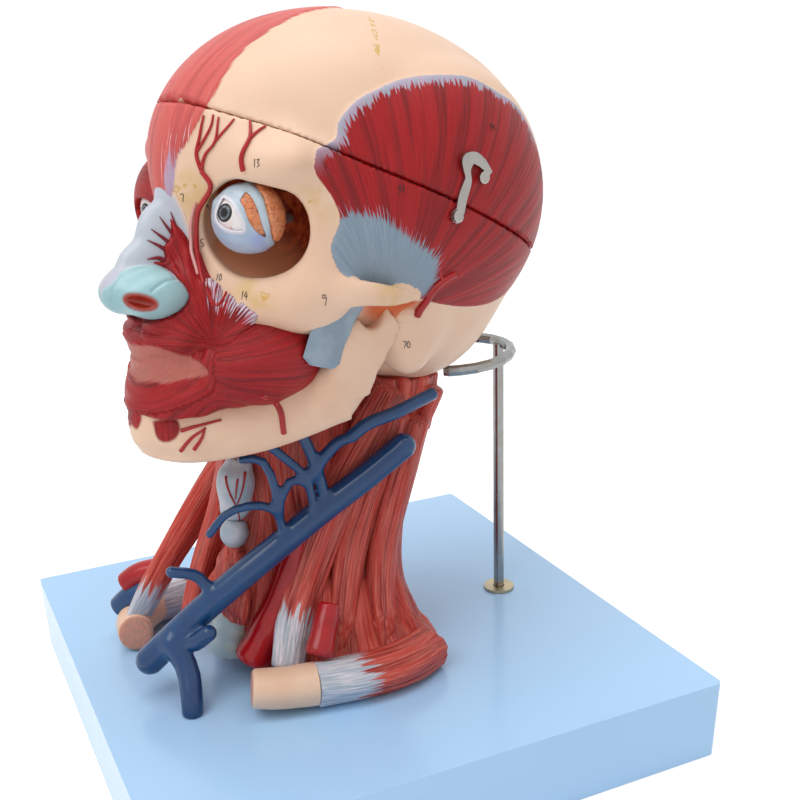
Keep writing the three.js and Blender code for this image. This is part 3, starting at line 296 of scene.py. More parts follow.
# Points, faces and flow of a smooth limb: the flow goes around it in x and y, along it in z
def tubeMesh(stations, steps=40, sides=28, facing=(1, 0, 0), roundness=0.6, ridge=None):
    rings, lengths = tubeRings(stations, steps, facing, roundness)
    angle = np.linspace(0, 2 * math.pi, sides, endpoint=False)
    points, flow = [], []
    for (centre, wide, deep), length in zip(rings, lengths):
        swell = 1 if ridge is None else 1 + ridge(angle, length / lengths[-1])
        ring = centre + np.outer(np.cos(angle) * swell, wide) + np.outer(np.sin(angle) * swell, deep)
        points.append(ring)
        w, d = np.linalg.norm(wide), np.linalg.norm(deep)
        flow.append(np.column_stack([np.cos(angle) * w, np.sin(angle) * d, np.full(sides, length)]))
    total = len(points) * sides
    points = np.vstack(points + [rings[0][0][None], rings[-1][0][None]])
    flow = np.vstack(flow + [[[0, 0, lengths[0]]], [[0, 0, lengths[-1]]]])
    faces = []
    for row in range(0, total - sides, sides):
        for k in range(sides):
            n = (k + 1) % sides
            faces.append([row + k, row + n, row + sides + n, row + sides + k])
    for k in range(sides):
        n = (k + 1) % sides
        faces.append([total, n, k])
        faces.append([total + 1, total - sides + k, total - sides + n])
    row = len(rings) // 2
    a, b, c = points[faces[row * sides][:3]]
    if np.cross(b - a, c - a) @ (a - rings[row][0]) < 0:
        faces = [face[::-1] for face in faces]
    return points, faces, flow


# One piece of several tubes, each given as what tubeMesh takes
def tubesPiece(name, tubes):
    points, faces, flows, share = [], [], [], []
    count = 0
    for tube in tubes:
        p, f, flow = tubeMesh(**tube)
        points.append(p)
        flows.append(flow)
        share.append(flow[:, 2] / flow[:, 2].max())
        faces += [[k + count for k in face] for face in f]
        count += len(p)
    piece = newPiece(name, np.vstack(points), faces)
    paint(piece, "flow", np.vstack(flows))
    paint(piece, "share", np.concatenate(share))
    return piece


def limbPiece(name, stations, **settings):
    return tubesPiece(name, [{"stations": stations, **settings}])


roundEnd = {"reach": 0.3, "share": 0.6}


# A line with the thickness at each point, drawn in at both ends
def roundLine(points, radius, end, steps):
    line = curvePoints(points, steps + 1)
    sizes = np.linspace(radius, end, steps + 1)
    first = line[0] + unit(line[1] - line[0]) * roundEnd["reach"] * radius
    last = line[-1] - unit(line[-1] - line[-2]) * roundEnd["reach"] * end
    line = np.vstack([line[0], first, line[1:-1], last, line[-1]])
    sizes = np.concatenate([[roundEnd["share"] * radius, radius], sizes[1:-1],
                            [end, roundEnd["share"] * end]])
    return line, sizes


# Signed distance in a flat chart, positive inside a closed outline
def outlineDistance(points, outline, closed=True):
    p = np.asarray(outline, float)
    if closed:
        p = curvePoints(np.vstack([p, p[:1]]), 6 * len(p) + 1)
    best = np.full(len(points), 1e9)
    inside = np.zeros(len(points), bool)
    for a, b in zip(p[:-1], p[1:]):
        step = b - a
        share = np.clip((points - a) @ step / max(step @ step, 1e-9), 0, 1)
        best = np.minimum(best, np.linalg.norm(points - a - share[:, None] * step, axis=1))
        crosses = (a[1] > points[:, 1]) != (b[1] > points[:, 1])
        with np.errstate(divide="ignore", invalid="ignore"):
            at = a[0] + (points[:, 1] - a[1]) / (b[1] - a[1]) * step[0]
        inside ^= crosses & (points[:, 0] < at)
    return np.where(inside, best, -best) if closed else best


def lineDistance(points, lines):
    best = np.full(len(points), 1e3)
    for line in lines:
        p = curvePoints(headAt(line), 8 * len(line))
        for a, b in zip(p[:-1], p[1:]):
            step = b - a
            share = np.clip((points - a) @ step / max(step @ step, 1e-9), 0, 1)
            best = np.minimum(best, np.linalg.norm(points - a - share[:, None] * step, axis=1))
    return best


def smooth(values, low, high):
    t = np.clip((values - low) / (high - low), 0, 1)
    return t * t * (3 - 2 * t)

# Shading

def tone(code):
    parts = [int(code[k:k + 2], 16) / 255 for k in (0, 2, 4)]
    return tuple(c / 12.92 if c < 0.04045 else ((c + 0.055) / 1.055) ** 2.4 for c in parts) + (1.0,)


def fillNode(tree, node, inputs):
    for key, value in inputs.items():
        if isinstance(value, bpy.types.NodeSocket):
            tree.links.new(value, node.inputs[key])
        else:
            node.inputs[key].default_value = value


def addNode(tree, kind, inputs=None, **settings):
    node = tree.nodes.new(kind)
    for key, value in settings.items():
        setattr(node, key, value)
    fillNode(tree, node, inputs or {})
    return node


def cloudNode(tree, place, scale, detail, **others):
    return addNode(tree, "ShaderNodeTexNoise", {"Vector": place, "Scale": scale, "Detail": detail,
                                                **others}).outputs[0]


def newGroup(name, inputs, outputs):
    tree = bpy.data.node_groups.new(name, "ShaderNodeTree")
    for label, kind, value in inputs:
        socket = tree.interface.new_socket(label, in_out="INPUT", socket_type=kind)
        if value is not None:
            socket.default_value = value
    for label, kind in outputs:
        tree.interface.new_socket(label, in_out="OUTPUT", socket_type=kind)
    return tree, tree.nodes.new("NodeGroupInput").outputs, tree.nodes.new("NodeGroupOutput").inputs


def mixed(tree, factor, a, b):
    return addNode(tree, "ShaderNodeMix", {0: factor, 6: a, 7: b}, data_type="RGBA").outputs[2]


def calc(tree, operation, a, b=None, c=None):
    inputs = {k: v for k, v in enumerate((a, b, c)) if v is not None}
    return addNode(tree, "ShaderNodeMath", inputs, operation=operation).outputs[0]


def ranged(tree, value, low, high, a=0.0, b=1.0):
    return addNode(tree, "ShaderNodeMapRange", {0: value, 1: low, 2: high, 3: a, 4: b},
                   interpolation_type="SMOOTHSTEP").outputs[0]


# Lines that run along z of a flow vector in millimetres
def fibreGroup():
    tree, given, out = newGroup("fibreLines", [
        ("Flow", "NodeSocketVector", None), ("Width", "NodeSocketFloat", 1.0),
        ("Stretch", "NodeSocketFloat", 14.0)],
                                [("Lines", "NodeSocketFloat"), ("Strands", "NodeSocketFloat"),
                                 ("Height", "NodeSocketFloat")])
    parts = addNode(tree, "ShaderNodeSeparateXYZ", {0: given["Flow"]}).outputs
    longer = calc(tree, "DIVIDE", parts[2], given["Stretch"])
    at = addNode(tree, "ShaderNodeCombineXYZ", {0: parts[0], 1: parts[1], 2: longer}).outputs[0]
    fineScale = calc(tree, "DIVIDE", 0.8, given["Width"])
    wideScale = calc(tree, "DIVIDE", 0.22, given["Width"])
    fine = cloudNode(tree, at, fineScale, 3.0, Roughness=0.65)
    wide = cloudNode(tree, at, wideScale, 2.0)
    lines = ranged(tree, fine, 0.32, 0.68)
    strands = ranged(tree, wide, 0.36, 0.64)
    tree.links.new(lines, out["Lines"])
    tree.links.new(strands, out["Strands"])
    tree.links.new(calc(tree, "MULTIPLY_ADD", strands, 1.4, lines), out["Height"])
    return tree


# Hand-painted unevenness of one colour towards another, in metres of the object
def mottleGroup():
    tree, given, out = newGroup("mottle", [
        ("Colour", "NodeSocketColor", (1, 1, 1, 1)), ("Towards", "NodeSocketColor", (1, 1, 1, 1)),
        ("Amount", "NodeSocketFloat", 0.5), ("Scale", "NodeSocketFloat", 60.0)],
        [("Colour", "NodeSocketColor"), ("Height", "NodeSocketFloat")])
    place = addNode(tree, "ShaderNodeTexCoord").outputs["Object"]
    cloud = cloudNode(tree, place, given["Scale"], 4.0)
    grainScale = calc(tree, "MULTIPLY", given["Scale"], 14.0)
    grain = cloudNode(tree, place, grainScale, 2.0)
    share = calc(tree, "MULTIPLY", ranged(tree, cloud, 0.35, 0.7), given["Amount"])
    tree.links.new(mixed(tree, share, given["Colour"], given["Towards"]), out["Colour"])
    tree.links.new(grain, out["Height"])
    return tree


# A painted region's mask from its signed distance, with a feathered border
def edgeGroup():
    tree, given, out = newGroup("paintEdge", [
        ("Distance", "NodeSocketFloat", 0.0), ("Wander", "NodeSocketFloat", 0.5),
        ("Feather", "NodeSocketFloat", 1.0), ("Soft", "NodeSocketFloat", 0.4)],
        [("Mask", "NodeSocketFloat")])
    moved = calc(tree, "MULTIPLY_ADD", calc(tree, "SUBTRACT", given["Wander"], 0.5), given["Feather"],
                 given["Distance"])
    low = calc(tree, "MULTIPLY", given["Soft"], -1.0)
    tree.links.new(ranged(tree, moved, low, given["Soft"]), out["Mask"])
    return tree


groups = {"fibre": fibreGroup(), "mottle": mottleGroup(), "edge": edgeGroup()}


def useGroup(tree, name, inputs):
    node = tree.nodes.new("ShaderNodeGroup")
    node.node_tree = groups[name]
    fillNode(tree, node, inputs)
    return node.outputs


def mottled(tree, colour, towards, amount, scale):
    inputs = {"Colour": tones[colour], "Towards": tones[towards], "Amount": amount, "Scale": scale}
    return useGroup(tree, "mottle", inputs)


def edgeMask(tree, distance, wander=0.5, feather=0.0, soft=0.8):
    inputs = {"Distance": distance, "Wander": wander, "Feather": feather, "Soft": soft}
    return useGroup(tree, "edge", inputs)["Mask"]


def attributeOf(tree, name, vector=False):
    return addNode(tree, "ShaderNodeAttribute", attribute_name=name).outputs["Vector" if vector else "Fac"]


def newMaterial(name, roughness=0.4, metallic=0.0, coat=0.0, specular=0.5):
    material = bpy.data.materials.new(name)
    material.use_nodes = True
    tree = material.node_tree
    shader = tree.nodes["Principled BSDF"]
    shader.inputs["Roughness"].default_value = roughness
    shader.inputs["Metallic"].default_value = metallic
    shader.inputs["Coat Weight"].default_value = coat
    shader.inputs["Specular IOR Level"].default_value = specular
    return material, tree, shader


def bumped(tree, shader, height, strength, distance):
    bump = addNode(tree, "ShaderNodeBump", {"Height": height, "Strength": strength, "Distance": distance})
    tree.links.new(bump.outputs[0], shader.inputs["Normal"])


colours = {
    "bone": "ecc9ae", "boneWarm": "dba88a", "boneStain": "d2ad58", "boneSuture": "d0a448",
    "fleshDeep": "780a10", "flesh": "9c1015", "fleshPale": "bc2a2e", "coral": "d05650",
    "coralDeep": "ba4442", "coralPale": "e08078",
    "neckDeep": "8e1414", "neckRed": "c23328", "neckPale": "e07868", "lip": "c47a6c",
    "lilac": "b9a2bc", "white": "e6dfe6", "sinew": "8294a6", "sinewPale": "a0b0bd", "sinewWhite": "c8ccd6",
    "socketRim": "e2b08c", "socketPaintedShade": "8e2c18", "socketWarm": "cc6030", "socketFloorPaintedLight": "f6b48a",
    "vein": "123a68", "veinPale": "205486", "artery": "a00a14", "arteryPale": "c41a20", "sheath": "e0a8a4",
    "gristle": "96c0c6", "gristlePale": "aed0d4", "gristleWhite": "bcc5ce", "nostril": "a02c1c",
    "plastic": "a9d2f8", "plasticPale": "b3d8fa", "steel": "96938e", "brass": "c0b190", "nickel": "a8a4a0",
    "gland": "e08a5c", "glandDark": "8e3c20", "lid": "a9bccb", "lidPale": "c4d2dc", "lidViolet": "98a6d2",
    "eyeWhite": "ebe6e4", "iris": "2e2e36", "pupil": "08080a", "spike": "7a0f24",
    "throat": "a4b3c0", "windpipe": "b5c4c8", "windpipeWarm": "c9c6a8", "brain": "dcae9c",
    "brainDeep": "b06e5e", "ink": "241c20",
}
tones = {name: tone(code) for name, code in colours.items()}


def fleshColour(tree, lines, deep, base, pale, contrast=0.35):
    low = mixed(tree, ranged(tree, lines["Strands"], 0.0, 0.7), tones[deep], tones[base])
    return mixed(tree, calc(tree, "MULTIPLY", lines["Lines"], contrast), low, tones[pale])


# Bone that carries painted muscles, tendons, sutures and the inside of the eye sockets, with painted shade
# deep in the sockets, painted light on their floors and painted shade under the cheek arch
def headMaterial():
    material, tree, shader = newMaterial("paintedHead", roughness=0.45, specular=0.3)
    flow = attributeOf(tree, "flow", vector=True)
    lines = useGroup(tree, "fibre", {"Flow": flow, "Width": 0.8, "Stretch": 26.0})
    hairs = useGroup(tree, "fibre", {"Flow": flow, "Width": 0.75, "Stretch": 22.0})
    bone = mottled(tree, "bone", "boneWarm", 0.25, 26.0)
    place = addNode(tree, "ShaderNodeTexCoord").outputs["Object"]
    squiggle = cloudNode(tree, place, 230.0, 3.0)
    patch = cloudNode(tree, place, 75.0, 2.0)
    seam = calc(tree, "MULTIPLY_ADD", calc(tree, "SUBTRACT", squiggle, 0.5), 9.0, attributeOf(tree, "seam"))
    seamMask = calc(tree, "MULTIPLY", ranged(tree, calc(tree, "ABSOLUTE", seam), 0.75, 0.2),
                    ranged(tree, patch, 0.36, 0.5))
    stained = mixed(tree, calc(tree, "MULTIPLY", attributeOf(tree, "stain"),
                               ranged(tree, patch, 0.4, 0.6, 0.0, 0.5)),
                    bone["Colour"], tones["boneStain"])
    colour = mixed(tree, calc(tree, "MULTIPLY", seamMask, 0.8), stained, tones["boneSuture"])
    # Inside the eye sockets: orange-brown paint, darkened with depth as painted shade and lightened low
    # down as painted light
    socket = attributeOf(tree, "socket")
    low = attributeOf(tree, "socketFloorPaintedLight")
    deep = mixed(tree, low, tones["socketPaintedShade"], tones["socketFloorPaintedLight"])
    warm = mixed(tree, ranged(tree, squiggle, 0.35, 0.65), deep,
                 mixed(tree, low, tones["socketWarm"], tones["socketFloorPaintedLight"]))
    inner = mixed(tree, ranged(tree, socket, 0.1, 0.6), tones["socketRim"], warm)
    colour = mixed(tree, ranged(tree, socket, 0.0, 0.22), colour, inner)
    temple = attributeOf(tree, "temple")
    brow = attributeOf(tree, "brow")
    crimson = fleshColour(tree, lines, "fleshDeep", "flesh", "fleshPale")
    comb = calc(tree, "MULTIPLY_ADD", hairs["Lines"], -4.5, calc(tree, "ADD", temple, 1.5))
    combMask = calc(tree, "MULTIPLY", ranged(tree, comb, 3.2, 2.2), attributeOf(tree, "upper"))
    fringe = mixed(tree, lines["Lines"], tones["lilac"], tones["sinewPale"])
    crimson = mixed(tree, calc(tree, "MULTIPLY", combMask, 0.9), crimson, fringe)
    templeMask = edgeMask(tree, temple, hairs["Lines"], 0.4, 0.3)
    colour = mixed(tree, templeMask, colour, crimson)
    rose = fleshColour(tree, lines, "coralDeep", "coral", "coralPale", 0.25)
    tip = attributeOf(tree, "tip")
    whiteLines = calc(tree, "MULTIPLY", ranged(tree, hairs["Lines"], 0.72, 0.95),
                      ranged(tree, tip, 0.0, 0.5))
    whiteLines = calc(tree, "MULTIPLY", whiteLines, ranged(tree, brow, 11.0, 6.0))
    rose = mixed(tree, calc(tree, "MULTIPLY", whiteLines, 0.8), rose, tones["white"])
    lilacTip = ranged(tree, calc(tree, "MULTIPLY_ADD", hairs["Lines"], 0.4, tip), 0.85, 1.15)
    rose = mixed(tree, calc(tree, "MULTIPLY", lilacTip, ranged(tree, brow, 5.5, 3.5)), rose, tones["lilac"])
    browMask = edgeMask(tree, brow, hairs["Lines"], 0.8, 0.3)
    colour = mixed(tree, browMask, colour, rose)
    sinew = attributeOf(tree, "sinew")
    plumeAt = calc(tree, "MULTIPLY_ADD", hairs["Lines"], 15.0, sinew)
    plume = calc(tree, "MULTIPLY", ranged(tree, plumeAt, 9.0, 11.5),
                 ranged(tree, sinew, -17.0, -2.0, 0.35, 1.0))
    colour = mixed(tree, calc(tree, "MULTIPLY", plume, calc(tree, "MULTIPLY", templeMask, 0.75)), colour,
                   tones["lilac"])
    core = edgeMask(tree, sinew, hairs["Lines"], 4.0, 0.8)
    grey = mixed(tree, calc(tree, "MULTIPLY", lines["Lines"], 0.5), tones["sinew"], tones["sinewPale"])
    colour = mixed(tree, calc(tree, "MULTIPLY", core, templeMask), colour, grey)
    # Painted shade under the cheek arch, in the sockets' orange-brown
    colour = mixed(tree, attributeOf(tree, "underArchShade"), colour, tones["socketWarm"])
    tree.links.new(colour, shader.inputs["Base Color"])
    rough = calc(tree, "MULTIPLY_ADD", bone["Height"], 0.08, 0.36)
    tree.links.new(rough, shader.inputs["Roughness"])
    fibres = calc(tree, "MULTIPLY", lines["Height"], calc(tree, "MAXIMUM", templeMask, browMask))
    bumped(tree, shader, calc(tree, "MULTIPLY_ADD", bone["Height"], 0.12, fibres), 0.35, 0.0003)
    return material


# Painted muscle over a limb, with a grey tendon where the sinew attribute is above nothing
def muscleMaterial(name, deep="fleshDeep", base="flesh", pale="fleshPale", width=1.0, stretch=18.0,
                   depth=0.0004, contrast=0.35):
    material, tree, shader = newMaterial(name, roughness=0.42, specular=0.3)
    flow = attributeOf(tree, "flow", vector=True)
    lines = useGroup(tree, "fibre", {"Flow": flow, "Width": width, "Stretch": stretch})
    streaks = useGroup(tree, "fibre", {"Flow": flow, "Width": width * 1.4, "Stretch": stretch * 1.4})
    meat = fleshColour(tree, lines, deep, base, pale, contrast)
    if name == "paintedFace":
        lipMask = edgeMask(tree, attributeOf(tree, "lips"), lines["Lines"], 1.0)
        meat = mixed(tree, calc(tree, "MULTIPLY", lipMask, 0.75), meat, tones["lip"])
    sinew = attributeOf(tree, "sinew")
    mask = edgeMask(tree, sinew, streaks["Lines"], 12.0, 1.5)
    grey = mixed(tree, lines["Lines"], tones["lilac" if name == "paintedSheet" else "sinewPale"],
                 tones["white"])
    colour = mixed(tree, mask, meat, grey)
    boneMask = edgeMask(tree, attributeOf(tree, "bare"))
    bone = mottled(tree, "bone", "boneWarm", 0.4, 40.0)
    colour = mixed(tree, boneMask, colour, bone["Colour"])
    tree.links.new(colour, shader.inputs["Base Color"])
    bumped(tree, shader, calc(tree, "MULTIPLY", lines["Height"], calc(tree, "SUBTRACT", 1.0, boneMask)),
           0.6, depth)
    return material


def plainMaterial(name, colour, towards, amount=0.4, scale=40.0, roughness=0.35, metallic=0.0, coat=0.0,
                  bump=0.0, specular=0.5):
    material, tree, shader = newMaterial(name, roughness, metallic, coat, specular)
    coatOf = mottled(tree, colour, towards, amount, scale)
    tree.links.new(coatOf["Colour"], shader.inputs["Base Color"])
    tree.links.new(calc(tree, "MULTIPLY_ADD", coatOf["Height"], 0.1, roughness - 0.05),
                   shader.inputs["Roughness"])
    if bump:
        bumped(tree, shader, coatOf["Height"], 0.4, bump)
    return material

# Round tubes along lines: vessels, nerve lines and pen strokes

def tubesAlongLines():
    tree = bpy.data.node_groups.new("tubesAlongLines", "GeometryNodeTree")
    tree.interface.new_socket("Geometry", in_out="INPUT", socket_type="NodeSocketGeometry")
    inputs = {}
    for name, kind in (("Sides", "NodeSocketInt"), ("Unit", "NodeSocketFloat"),
                       ("Material", "NodeSocketMaterial")):
        inputs[name] = tree.interface.new_socket(name, in_out="INPUT", socket_type=kind).identifier
    tree.interface.new_socket("Geometry", in_out="OUTPUT", socket_type="NodeSocketGeometry")
    start = tree.nodes.new("NodeGroupInput")
    line = addNode(tree, "GeometryNodeMeshToCurve", {"Mesh": start.outputs["Geometry"]})
    thick = addNode(tree, "GeometryNodeInputNamedAttribute", {"Name": "thick"}, data_type="FLOAT")
    scale = addNode(tree, "ShaderNodeMath", {0: thick.outputs[0], 1: start.outputs["Unit"]},
                    operation="MULTIPLY")
    ring = addNode(tree, "GeometryNodeCurvePrimitiveCircle",
                   {"Resolution": start.outputs["Sides"], "Radius": 1.0})
    tube = addNode(tree, "GeometryNodeCurveToMesh",
                   {"Curve": line.outputs["Curve"], "Profile Curve": ring.outputs["Curve"],
                                                     "Scale": scale.outputs[0], "Fill Caps": True})
    real = addNode(tree, "GeometryNodeRealizeInstances", {"Geometry": tube.outputs["Mesh"]})
    coated = addNode(tree, "GeometryNodeSetMaterial",
                     {"Geometry": real.outputs["Geometry"], "Material": start.outputs["Material"]})
    tree.links.new(coated.outputs["Geometry"], tree.nodes.new("NodeGroupOutput").inputs["Geometry"])
    return tree, inputs


lineTree, lineInputs = tubesAlongLines()


def linesPiece(name, lines, material, slot=None, sides=10):
    points, edges, thick = [], [], []
    for line, sizes in lines:
        first = len(thick)
        points.append(line)
        thick.extend(sizes)
        edges += [(k, k + 1) for k in range(first, len(thick) - 1)]
    mesh = bpy.data.meshes.new(name + "Lines")
    mesh.from_pydata(toStand(np.vstack(points)), edges, [])
    mesh.attributes.new("thick", "FLOAT", "POINT").data.foreach_set("value", thick)
    piece = bpy.data.objects.new(name, mesh)
    bpy.context.scene.collection.objects.link(piece)
    tubes = piece.modifiers.new("tubes", "NODES")
    tubes.node_group = lineTree
    tubes[lineInputs["Sides"]] = sides
    tubes[lineInputs["Unit"]] = 0.001
    tubes[lineInputs["Material"]] = materials[material]
    made = bpy.data.meshes.new_from_object(piece.evaluated_get(bpy.context.evaluated_depsgraph_get()))
    piece.modifiers.remove(tubes)
    piece.data = made
    made.shade_smooth()
    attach(piece, "figure")
    return dress(piece, material, slot)


materials = {
    "head": headMaterial(),
    "muscle": muscleMaterial("paintedMuscle"),
    "neckMuscle": muscleMaterial("paintedNeck", "neckDeep", "neckRed", "neckPale", 0.75, 30.0, 0.0006,
                                 0.75),
    "bone": plainMaterial("paintedBone", "bone", "boneWarm", 0.35, 30.0, 0.42, coat=0.08, bump=0.0001),
    "vein": plainMaterial("paintedVein", "vein", "veinPale", 0.5, 30.0, 0.24, coat=0.15, specular=0.4),
    "artery": plainMaterial("paintedArtery", "artery", "arteryPale", 0.5, 60.0, 0.25, coat=0.25,
                            bump=0.0001, specular=0.3),
    "throat": plainMaterial("paintedThroat", "throat", "white", 0.6, 60.0, 0.4, bump=0.0001),
    "windpipe": plainMaterial("paintedWindpipe", "windpipe", "windpipeWarm", 0.6, 70.0, 0.4, bump=0.0001),
    "gristle": plainMaterial("paintedGristle", "gristle", "gristlePale", 0.5, 50.0, 0.35, coat=0.15,
                             bump=0.0001),
    "sinew": plainMaterial("paintedSinew", "sinew", "sinewPale", 0.6, 90.0, 0.4, coat=0.1, bump=0.0001),
    "plastic": plainMaterial("mouldedPlastic", "plastic", "plasticPale", 0.5, 5.0, 0.22, coat=0.1),
    "nickel": plainMaterial("nickelPlate", "nickel", "steel", 0.4, 160.0, 0.2, metallic=1.0, bump=0.00003),
    "steel": plainMaterial("platedSteel", "steel", "sinewPale", 0.3, 200.0, 0.26, metallic=1.0,
                           bump=0.00003),
    "brass": plainMaterial("brassyPlate", "brass", "steel", 0.5, 120.0, 0.38, metallic=1.0, bump=0.00003),
    "eyeWhite": plainMaterial("paintedEye", "eyeWhite", "lilac", 0.3, 120.0, 0.2, coat=0.5),
    "brain": plainMaterial("paintedBrain", "brain", "brainDeep", 0.5, 60.0, 0.4, coat=0.1, bump=0.0004),
}
print("materials built")


def dress(piece, material, slot=None):
    piece.data.materials.clear()
    piece.data.materials.append(materials[material])
    return piece

# Camera, light and stage

view = {"at": (0.5229, -0.2077, 0.3406), "azimuth": 65.0, "elevation": 17.25, "roll": -1.65, "lens": 52.27}


def addCamera():
    data = bpy.data.cameras.new("viewCamera")
    data.sensor_width = 36.0
    data.sensor_fit = "HORIZONTAL"
    data.lens = view["lens"]
    data.clip_end = 20
    camera = bpy.data.objects.new("viewCamera", data)
    bpy.context.scene.collection.objects.link(camera)
    a, e, r = (math.radians(view[key]) for key in ("azimuth", "elevation", "roll"))
    back = Vector((math.sin(a) * math.cos(e), -math.cos(a) * math.cos(e), math.sin(e)))
    right = (-back).cross(Vector((0, 0, 1))).normalized()
    over = right.cross(-back)
    right, over = math.cos(r) * right + math.sin(r) * over, -math.sin(r) * right + math.cos(r) * over
    turn = Matrix((right, over, back)).transposed().to_4x4()
    camera.matrix_world = Matrix.Translation(view["at"]) @ turn
    bpy.context.scene.camera = camera


lamps = {
    "key": {"at": (0.4, -1.15, 1.75), "size": 1.3, "power": 16.0},
    "fill": {"at": (1.7, 0.2, 0.9), "size": 2.0, "power": 0.8},
    "top": {"at": (0.0, 0.2, 2.1), "size": 1.5, "power": 17.0},
}


def addLamp(name, at, size, power):
    data = bpy.data.lights.new(name, "AREA")
    data.energy = power
    data.size = size
    lamp = bpy.data.objects.new(name, data)
    bpy.context.scene.collection.objects.link(lamp)
    lamp.location = at
    lamp.rotation_euler = (Vector((0, 0, 0.2)) - Vector(at)).to_track_quat("-Z", "Y").to_euler()


# One where a ray comes from the camera, a mirror or a clear coat
def straightRay(tree):
    ray = addNode(tree, "ShaderNodeLightPath").outputs
    through = calc(tree, "MAXIMUM", ray["Is Glossy Ray"], ray["Is Transmission Ray"])
    return calc(tree, "MAXIMUM", ray["Is Camera Ray"], through)


def addWorld():
    world = bpy.data.worlds.new("studio")
    world.use_nodes = True
    bpy.context.scene.world = world
    tree = world.node_tree
    tree.nodes.clear()
    strength = calc(tree, "MULTIPLY_ADD", straightRay(tree), 0.55, 0.5)
    back = addNode(tree, "ShaderNodeBackground", {"Color": (1, 1, 1, 1), "Strength": strength})
    tree.links.new(back.outputs[0], addNode(tree, "ShaderNodeOutputWorld").inputs[0])


def addFloor():
    size, z = 6.0, -0.0005
    corners = [(-size, -size, z), (size, -size, z), (size, size, z), (-size, size, z)]
    floor = newPiece("floor", corners, [(0, 1, 2, 3)], placed=False)
    floor.parent = None
    material = bpy.data.materials.new("paleFloor")
    material.use_nodes = True
    tree = material.node_tree
    tree.nodes.clear()
    place = addNode(tree, "ShaderNodeTexCoord").outputs["Object"]
    cloud = addNode(tree, "ShaderNodeTexNoise", {"Vector": place, "Scale": 2.0}).outputs[0]
    diffuse = addNode(tree, "ShaderNodeBsdfDiffuse",
                      {"Color": mixed(tree, cloud, (0.93, 0.93, 0.93, 1), (0.95, 0.95, 0.95, 1))})
    glow = addNode(tree, "ShaderNodeEmission", {"Color": (1, 1, 1, 1), "Strength": 1.45})
    share = calc(tree, "MULTIPLY", straightRay(tree), 0.55)
    blend = addNode(tree, "ShaderNodeMixShader", {0: share, 1: diffuse.outputs[0], 2: glow.outputs[0]})
    tree.links.new(blend.outputs[0], addNode(tree, "ShaderNodeOutputMaterial").inputs[0])
    floor.data.materials.append(material)
    floor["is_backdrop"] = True


addCamera()
for lampName, lamp in lamps.items():
    addLamp(lampName, **lamp)
addWorld()
addFloor()
bpy.context.scene.view_settings.view_transform = "Standard"
print("camera, light and floor set")

# Skull and cap

skullRows = [
    [0, 0.04, -0.09, 0.97, 0.94, 1.02], [0, -0.21, 0.23, 0.76, 0.82, 0.76],
    [0, 0.19, -0.63, 0.74, 0.43, 0.6], [0, -0.12, -0.62, 0.6, 0.55, 0.44],
    [0, -0.78, -0.55, 0.42, 0.26, 0.46], [0, -0.87, -0.02, 0.17, 0.14, 0.34],
]
skullSideRows = [
    [0.61, 0.16, 0, 0.34, 0.51, 0.66], [0.45, -0.72, 0.24, 0.33, 0.15, 0.15],
    [0.62, -0.62, -0.47, 0.18, 0.19, 0.2], [0.4, -0.8, -0.48, 0.22, 0.13, 0.17],
    [0.66, -0.56, -0.1, 0.11, 0.1, 0.34], [0.66, -0.12, -0.74, 0.15, 0.13, 0.27],
]
hollowRows = [[0, 0.18, -0.02, 0.88, 0.68, 0.84], [0, -0.22, 0.4, 0.64, 0.6, 0.46],
              [0, 0.26, -0.54, 0.6, 0.31, 0.38]]
orbit = {"centre": (0.41, -0.75, -0.09), "half": (24.0, 26.0, 22.5), "yaw": 36.0, "edge": 2.5}
arch = {"line": [(0.72, -0.63, -0.45), (0.86, -0.51, -0.44), (0.9, -0.35, -0.48), (0.84, -0.19, -0.51)],
        "height": (7.0, 3.0), "thickness": 3.0}
skullForm = ovals(skullRows) + ovals(skullSideRows, both=True)
braincase = ovalField(skullForm, head["blend"])
hollow = ovalField(ovals(hollowRows), head["blend"])
tilt = math.radians(head["cutTilt"])
liftAxis = np.array([0, math.sin(tilt), math.cos(tilt)])


def aboveCut(points):
    return (points - [0, 0, head["cutZ"]]) @ liftAxis


# A point in the socket's own frame: x across, y backwards, z up
def orbitPlace(points, side):
    yaw = side * math.radians(orbit["yaw"])
    centre = headAt([[side * orbit["centre"][0], *orbit["centre"][1:]]])[0]
    x, y, z = (points - centre).T
    return np.stack([x * math.cos(yaw) + y * math.sin(yaw), -x * math.sin(yaw) + y * math.cos(yaw), z], 1)


def orbitDistance(points, side):
    return ovalDistance(orbitPlace(points, side), np.zeros(3), np.array(orbit["half"]))


def archField(points):
    value = None
    for side in (1, -1):
        line = headAt([[side * x, y, z] for x, y, z in arch["line"]])
        near = tubeOval(points, line, arch["thickness"], arch["height"])
        value = near if value is None else np.minimum(value, near)
    return value


# An upright flat bar along a line: thin across, tall in z
def tubeOval(points, line, thick, heights):
    path = curvePoints(line, 24)
    tall = np.linspace(heights[0], heights[1], 24)
    best = np.full(len(points), 1e3)
    for k in range(23):
        a, step = path[k], path[k + 1] - path[k]
        flat = np.array([step[0], step[1]])
        share = np.clip((points[:, :2] - a[:2]) @ flat / max(flat @ flat, 1e-9), 0, 1)
        gap = points - a - share[:, None] * step
        across = np.linalg.norm(gap[:, :2], axis=1)
        high = tall[k] + share * (tall[k + 1] - tall[k])
        length = np.sqrt((across / thick) ** 2 + (gap[:, 2] / high) ** 2)
        lean = np.sqrt((across / thick ** 2) ** 2 + (gap[:, 2] / high ** 2) ** 2)
        best = np.minimum(best, length * (length - 1) / np.maximum(lean, 1e-6))
    return best


def skullSolid(points):
    value = braincase(points)
    near = value < 30
    bar = np.full(len(points), 1e3)
    if near.any():
        bar[near] = archField(points[near])
    return softUnion(value, bar, 5.0)


